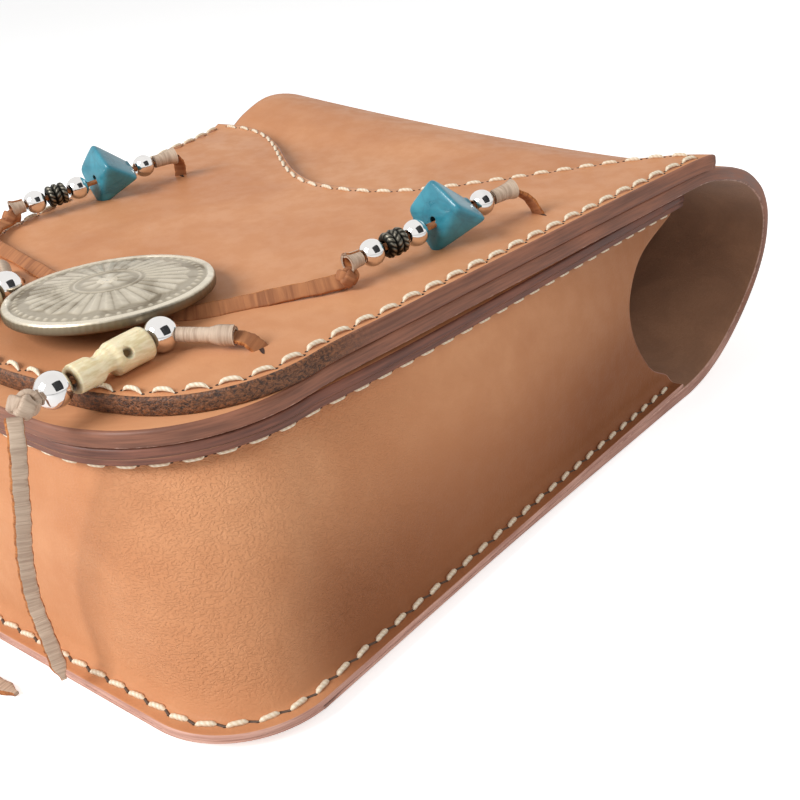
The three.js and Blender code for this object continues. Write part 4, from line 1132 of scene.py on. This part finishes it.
def ropeBead(name, centre, direction, node):
    # three bands of twisted wire: a half-round bump for each, cut by slanting grooves
    half = beadPlan["ropeHalf"]
    along = np.linspace(-half, half, 46)[:, None]
    angle = np.arange(72)[None] / 72 * 2 * np.pi
    barrel = beadPlan["ropeRadius"] - 0.1 * along**2 / half
    place = along / (2 * half) * beadPlan["ropeBands"]
    band = np.abs(np.sin(np.pi * (place + 0.5)))
    slant = beadPlan["ropeSlant"] * np.where(np.floor(place + 1.5) % 2 == 0, 1, -1)
    groove = np.abs(np.sin(beadPlan["ropeWires"] * angle + along * slant))
    radius = 0.82 * barrel + 0.42 * band**0.6 + 0.22 * groove**0.7 * band
    ends = smoothStep(np.abs(along), half, 1.9)
    radius = 1.3 + (radius - 1.3) * (0.35 + 0.65 * ends)
    recess = np.clip(1.15 - groove * band * 1.2, 0, 1)
    turned(name, centre, direction, along[:, 0], radius, beadPlan["ropeBore"], finishes["darkSilver"], node,
           {"recess": recess})


def hullPlanes(corners):
    # every triple of corners whose plane leaves all the others on one side: outward normal over its distance
    planes = []
    count = len(corners)
    for i in range(count):
        for j in range(i + 1, count):
            for k in range(j + 1, count):
                normal = unit(np.cross(corners[j] - corners[i], corners[k] - corners[i]))
                sides = (corners - corners[i]) @ normal
                if sides.max() < 1e-6 or sides.min() > -1e-6:
                    normal = normal if sides.max() < 1e-6 else -normal
                    planes.append(normal / (normal @ corners[i]))
    return np.array(planes)


def stoneBead(name, centre, direction, node):
    # distance to the surface = (sum of (plane . direction) ^ p) ^ (-1 / p), which rounds the edges of the hull
    plan = beadPlan
    corners = np.array(plan["stoneCorners"]) - [0, 0, plan["stoneBore"]]
    planes = hullPlanes(corners)
    sides, rows = 96, 70
    angle = np.arange(sides)[None] / sides * 2 * np.pi
    polar = np.linspace(0.16, np.pi - 0.16, rows)[:, None]
    ways = np.stack([np.repeat(np.cos(polar), sides, 1), np.sin(polar) * np.cos(angle),
                     np.sin(polar) * np.sin(angle)], -1)
    slopes = np.maximum(ways @ planes.T, 0)
    surface = ways * (slopes**plan["stoneSharp"]).sum(-1, keepdims=True) ** (-1 / plan["stoneSharp"])
    ring = plan["stoneHole"] * np.stack([np.cos(angle[0]), np.sin(angle[0])], -1)
    mouths = [np.concatenate([np.full((sides, 1), end), ring], -1)
              for end in (surface[0, :, 0].max() - 0.9, surface[-1, :, 0].min() + 0.6)]
    local = np.concatenate([mouths[:1], surface, mouths[1:]])
    across, way, up = standing(direction)
    points = centre + local[..., :1] * way + local[..., 1:2] * across + (local[..., 2:] + plan["stoneBore"]) * up
    quads, _ = gridQuads(len(local), sides, True, True)
    piece = buildMesh(name, points.reshape(-1, 3), quads, [finishes["stone"]])
    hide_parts(node)
    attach(piece, "flap")


def boneBead(name, centre, direction, node):
    # a carved tube: swelling ends, a notch half way above and below, and one drilled hole
    along = np.linspace(-beadPlan["bone"] / 2, beadPlan["bone"] / 2, 110)[:, None]
    angle = np.arange(96)[None] / 96 * 2 * np.pi
    ends = smoothStep(np.abs(along), 7.2, 6.7)
    upperPart = smoothStep(along, 0.4, -0.9)
    radius = (beadPlan["boneRadius"] + beadPlan["boneSwell"] * upperPart + 0.12 * np.cos(2 * angle + 0.6)
              + 0.07 * np.sin(3 * angle + along * 0.4))
    notch = sum(deep * np.exp(-(((along - place) / 1.15) ** 4)) * np.maximum(0, np.cos(angle - np.radians(turn))) ** 3
                for place, turn, deep in beadPlan["boneNotches"])
    holePlace, holeTurn = beadPlan["boneHole"]
    gone = np.hypot(along - holePlace, np.angle(np.exp(1j * (angle - np.radians(holeTurn)))) * 2.7)
    hole = smoothStep(gone, beadPlan["boneHoleRadius"], 0.7)
    radius = (radius - notch - beadPlan["boneHoleDepth"] * hole) * (0.93 + 0.07 * ends)
    recess = np.clip(hole + 0.12 * notch + 0.5 * (1 - smoothStep(np.abs(along), 7.2, 6.9)), 0, 1)
    turned(name, centre, direction, along[:, 0], radius, beadPlan["boneBore"], finishes["bone"], node,
           {"recess": recess})


def rolledSleeve(name, base, direction, length, radii, node, wrinkled=False, flare=0.35):
    # a strip rolled a little over one turn: an outer spiral and an inner one, carried along with a flare at the end
    across, way, up = standing(direction)
    turn = np.linspace(0, 2 * np.pi * 1.12, 34) + 0.9
    grow = 0.32 * (turn - 0.9) / (2 * np.pi)
    outer = np.stack([np.cos(turn), np.sin(turn)], -1)
    steps = 34 if wrinkled else 16
    place = np.linspace(0, 1, steps)
    start, finish = radii
    size = start + (finish - start) * smoothStep(place, 0.1, 1.0) + flare * smoothStep(place, 0.7, 1.0)
    if wrinkled:
        size = start + 0.05 * np.abs(np.sin(place * 34)) * smoothStep(place, 0.72, 0.6) \
            + (finish - start) * smoothStep(place, 0.55, 0.75)
    wall = 0.55
    rings = [np.concatenate([outer * (s + grow)[:, None], (outer * (s + grow - wall)[:, None])[::-1]]) for s in size]
    section = np.stack(rings)
    centres = base + place[:, None] * length * way
    piece = tubes(name, centres[None], np.tile(across, (1, steps, 1)), np.tile(up, (1, steps, 1)), section,
                  [finishes["laceGrain"], finishes["laceCut"]], [0] * 33 + [1] + [1] * 33 + [1])
    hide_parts(node)
    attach(piece, "flap")


def strip(name, path, up, node, width=lacePlan["width"], count=60, twist=0.0):
    # a flat lace through the points, its face towards up, turned by twist degrees over its length
    line = pathAlong(path, count)
    _, across, normal = pathFrames(line, np.asarray(up, float))
    angle = np.radians(twist) * np.linspace(0, 1, count)[:, None]
    turnedAcross = across * np.cos(angle) + normal * np.sin(angle)
    turnedNormal = normal * np.cos(angle) - across * np.sin(angle)
    step = np.linspace(0, 1, count)
    waver = 1 + 0.04 * np.sin(step * 23) + 0.03 * np.sin(step * 57)
    section = flatSection(width, lacePlan["thickness"] * 0.8, 12)[None] * waver[:, None, None]
    angles = (np.arange(12) + 0.5) / 12 * 2 * np.pi
    cut = (np.abs(np.cos(angles)) > 0.75).astype(int)
    piece = tubes(name, line[None], turnedAcross[None], turnedNormal[None], section,
                  [finishes["laceFlesh"], finishes["laceCut"]], cut)
    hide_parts(node)
    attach(piece, "flap")


def tiedKnot(name, centre, direction, size, node, finish):
    # trefoil: (sin t + 2 sin 2t, cos t - 2 cos 2t, -sin 3t), flattened, with a flat lace's outline carried round it
    across, way, up = standing(direction)
    t = np.linspace(0, 2 * np.pi, 72, endpoint=False)
    flat = np.stack([np.sin(t) + 2 * np.sin(2 * t), np.cos(t) - 2 * np.cos(2 * t), -1.1 * np.sin(3 * t)], -1)
    flat = flat * size / 3.9
    path = centre + flat[:, :1] * across + flat[:, 1:2] * way * 0.85 + flat[:, 2:] * up
    along = unit(np.roll(path, -1, 0) - np.roll(path, 1, 0))
    outward = unit(path - centre)
    side = unit(np.cross(along, outward))
    normal = np.cross(side, along)
    section = flatSection(size * 0.85, size * 0.42, 12)[None]
    piece = tubes(name, path[None], side[None], normal[None], section, [finish], closed=True)
    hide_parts(node)
    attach(piece, "flap")


def slitShadeMark(name, x, y, turn, length=4.6, width=0.8):
    # a thin dark lens of painted shade on the overlay where a lace goes through it
    station = flapStation(y)
    centre = wrapPoint(x, station, overlayPlan["top"])
    normal = unit(wrapPoint(x, station, overlayPlan["top"] + 1) - centre)
    angle = np.radians(turn)
    flatWay = np.array([np.cos(angle), np.sin(angle), 0])
    way = unit(flatWay - normal * (flatWay @ normal))
    lap = np.arange(20) / 20 * 2 * np.pi
    ring = np.stack([np.cos(lap) * length / 2, np.sin(lap) * width / 2 * np.abs(np.sin(lap)) ** 0.3], -1)
    centres = centre + np.array([[-0.4], [0.05]]) * normal
    piece = tubes(name, centres[None], np.tile(way, (1, 2, 1)), np.tile(np.cross(normal, way), (1, 2, 1)),
                  np.stack([ring * 0.8, ring]), [finishes["hole"]])
    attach(piece, "flap")


def nodeMiddle(name):
    low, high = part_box(name)
    return fromFrame((low + high) / 2)


stringPlan = {
    "near": {"slit": (53, 99.3), "slitTurn": -20,
             "bridge": [[36.6, 51.4, 1.5], [33, 47.6, 1.3], [28.2, 42.6, 0.9], [20.5, 34, 0.8], [9.4, 31.4, 0.8]]},
    "far": {"slit": (-43, 90.5), "slitTurn": -20,
            "bridge": [[-50.6, 43.6, 1.6], [-44.6, 38.8, 1.3], [-32, 36.5, 0.9], [-14, 33, 0.8], [0.6, 31.2, 0.8]]},
    "near_bone": {"slit": (41.7, 31.5), "slitTurn": -35},
    "far_bone": {"slit": (-31.5, 31.5), "slitTurn": 35},
}


def turquoiseString(prefix):
    plan = stringPlan[prefix]
    first, last = nodeMiddle(f"{prefix}_silver_1"), nodeMiddle(f"{prefix}_silver_3")
    direction = unit(last - first)
    for number in (1, 2, 3):
        node = f"{prefix}_silver_{number}"
        silverBall(f"{prefix}Silver{number}", nodeMiddle(node), direction, beadPlan["silver"], node)
    reach = beadPlan["silver"] + beadPlan["gap"] + beadPlan["stone"] / 2
    stoneBead(f"{prefix}Turquoise", first + direction * reach, direction, f"{prefix}_turquoise")
    ropeBead(f"{prefix}RopeBead", nodeMiddle(f"{prefix}_dark_bead"), direction, f"{prefix}_dark_bead")
    core = [first - direction * 7, (first + last) / 2, last + direction * 4.5]
    strip(f"{prefix}StringLace", core, (0, 0, 1), f"{prefix}_string_lace", 1.7)
    back = -direction
    start = beadPlan["silver"] + beadPlan["gap"] - 0.15
    rolledSleeve(f"{prefix}TopSleeve", first + back * start, back, 5.4, (1.15, 1.4), f"{prefix}_top_sleeve")
    rolledSleeve(f"{prefix}BottomSleeve", last + direction * start, direction, 2.9, (1.25, 1.45),
                 f"{prefix}_bottom_sleeve", flare=0.25)
    x, y = plan["slit"]
    slitEnd = np.array([x, y, float(overlayTopAt(x, y)) - 0.6])
    foldStart = first + back * (beadPlan["silver"] + 5.4)
    middle = foldStart * 0.45 + slitEnd * 0.55 + [0, 0.6, 0.9]
    strip(f"{prefix}TopFold", [foldStart, middle, slitEnd], (0, 0.3, 1), f"{prefix}_top_fold", count=30, twist=25)
    slitShadeMark(f"{prefix}TopSlit", x, y, plan["slitTurn"])
    knotAt = nodeMiddle(f"{prefix}_bottom_knot") - direction * beadPlan["knotBack"]
    tiedKnot(f"{prefix}BottomKnot", knotAt, direction, 2.4, f"{prefix}_bottom_knot", finishes["laceFlesh"])
    path = [[bx, by, float(overlayTopAt(bx, by)) + h] for bx, by, h in plan["bridge"]]
    strip(f"{prefix}BridgeLace", [knotAt + [0, 0, -0.4]] + path, (0.45, -0.55, 0.7), f"{prefix}_bridge_lace", 3.0)


def boneString(prefix, label):
    plan = stringPlan[prefix]
    first, last = nodeMiddle(f"{prefix}_silver_1"), nodeMiddle(f"{prefix}_silver_2")
    direction = unit(last - first)
    radius = beadPlan["bigSilver"]
    silverBall(f"{label}Silver1", first, direction, radius, f"{prefix}_silver_1")
    silverBall(f"{label}Silver2", last, direction, radius, f"{prefix}_silver_2")
    boneBead(f"{label}Bone", first + direction * (radius + beadPlan["gap"] + beadPlan["bone"] / 2), direction,
             f"{prefix}_bone_bead")
    core = [first - direction * 3.5, (first + last) / 2, last + direction * 4.5]
    strip(f"{label}StringLace", core, (0, 0, 1), f"{prefix}_string_lace", 1.7)
    x, y = plan["slit"]
    top = float(overlayTopAt(x, y))
    rise = unit(np.array([x, y, top + 2.2]) - first)
    rolledSleeve(f"{label}TopSleeve", first + rise * (radius - 0.2), rise, 10.0, (1.0, 1.5),
                 f"{prefix}_top_sleeve", True)
    foldStart = first + rise * (radius + 8.6)
    slitEnd = np.array([x, y, top - 0.6])
    middle = foldStart * 0.4 + slitEnd * 0.6 + [0, 0, 0.9]
    strip(f"{label}TopFold", [foldStart, middle, slitEnd], (0, -0.2, 1), f"{prefix}_top_fold", 3.0,
          count=30, twist=-20)
    slitShadeMark(f"{label}TopSlit", x, y, plan["slitTurn"])
    tiedKnot(f"{label}BottomKnot", nodeMiddle(f"{prefix}_bottom_knot") - direction * 0.9, direction, 2.9,
             f"{prefix}_bottom_knot", finishes["laceGrain"])


turquoiseString("near")
turquoiseString("far")
boneString("near_bone", "nearBone")
boneString("far_bone", "farBone")
print("strings made")

# Floor, sky and soft lights.
lightPlan = {
    "floorSize": 6.0, "floorGlow": 0.6, "skyDiffuse": 0.3, "skySeen": 1.0,
    "lamps": {"key": {"place": (-0.18, -0.67, 0.52), "size": 0.4, "power": 6.7},
              "fill": {"place": (0.65, 0.05, 0.55), "size": 0.6, "power": 2.2}},
    "card": {"place": (0.42, 0.0, 0.33), "size": 0.5},
}


def makeStage():
    half = lightPlan["floorSize"] / 2
    mesh = bpy.data.meshes.new("floor")
    mesh.from_pydata([(-half, -half, 0), (half, -half, 0), (half, half, 0), (-half, half, 0)], [], [(0, 1, 2, 3)])
    material, tree, shader = newMaterial("paleFloor")
    cloud = noiseNode(tree, coordinates(tree), 3.0, 3.0)
    feed(tree, shader.inputs["Base Color"], mixTone(tree, cloud, tone(243, 243, 243), tone(248, 248, 248)))
    shader.inputs["Roughness"].default_value = 0.9
    # the floor looks white to the camera without lighting the bag any more
    seen = tree.nodes.new("ShaderNodeLightPath").outputs["Is Camera Ray"]
    shader.inputs["Emission Color"].default_value = (1.0, 1.0, 1.0, 1.0)
    feed(tree, shader.inputs["Emission Strength"], mathNode(tree, "MULTIPLY", seen, lightPlan["floorGlow"]))
    mesh.materials.append(material)
    floor = bpy.data.objects.new("floor", mesh)
    scene.collection.objects.link(floor)
    world = bpy.data.worlds.new("studio")
    world.use_nodes = True
    # the sky is seen and mirrored at full strength but lights the leather less
    sky = world.node_tree
    path = sky.nodes.new("ShaderNodeLightPath").outputs
    direct = mathNode(sky, "MAXIMUM", path["Is Camera Ray"], path["Is Glossy Ray"])
    strength = rangeNode(sky, direct, 0.0, 1.0, lightPlan["skyDiffuse"], lightPlan["skySeen"], False)
    feed(sky, sky.nodes["Background"].inputs["Strength"], strength)
    sky.nodes["Background"].inputs["Color"].default_value = (1.0, 0.99, 0.98, 1.0)
    scene.world = world
    for name, plan in lightPlan["lamps"].items():
        data = bpy.data.lights.new(name, "AREA")
        data.shape, data.size, data.energy = "SQUARE", plan["size"], plan["power"]
        lamp = bpy.data.objects.new(name, data)
        lamp.location = plan["place"]
        lamp.rotation_euler = (Vector((0, 0, 0.04)) - Vector(plan["place"])).to_track_quat("-Z", "Y").to_euler()
        lamp.visible_glossy = name == "key"
        scene.collection.objects.link(lamp)
    card = lightPlan["card"]
    size = card["size"] / 2
    mesh = bpy.data.meshes.new("darkCard")
    mesh.from_pydata([(-size, -size, 0), (size, -size, 0), (size, size, 0), (-size, size, 0)], [], [(0, 1, 2, 3)])
    mesh.materials.append(plainMaterial("cardCloth", tone(60, 60, 62), tone(40, 40, 42), 0.9))
    sheet = bpy.data.objects.new("darkCard", mesh)
    sheet.location = card["place"]
    sheet.rotation_euler = (-Vector(card["place"])).to_track_quat("Z", "Y").to_euler()
    sheet.visible_camera = False
    sheet.visible_shadow = False
    sheet.visible_diffuse = False
    scene.collection.objects.link(sheet)
    scene.view_settings.view_transform = "Standard"


makeStage()
print("stage made")
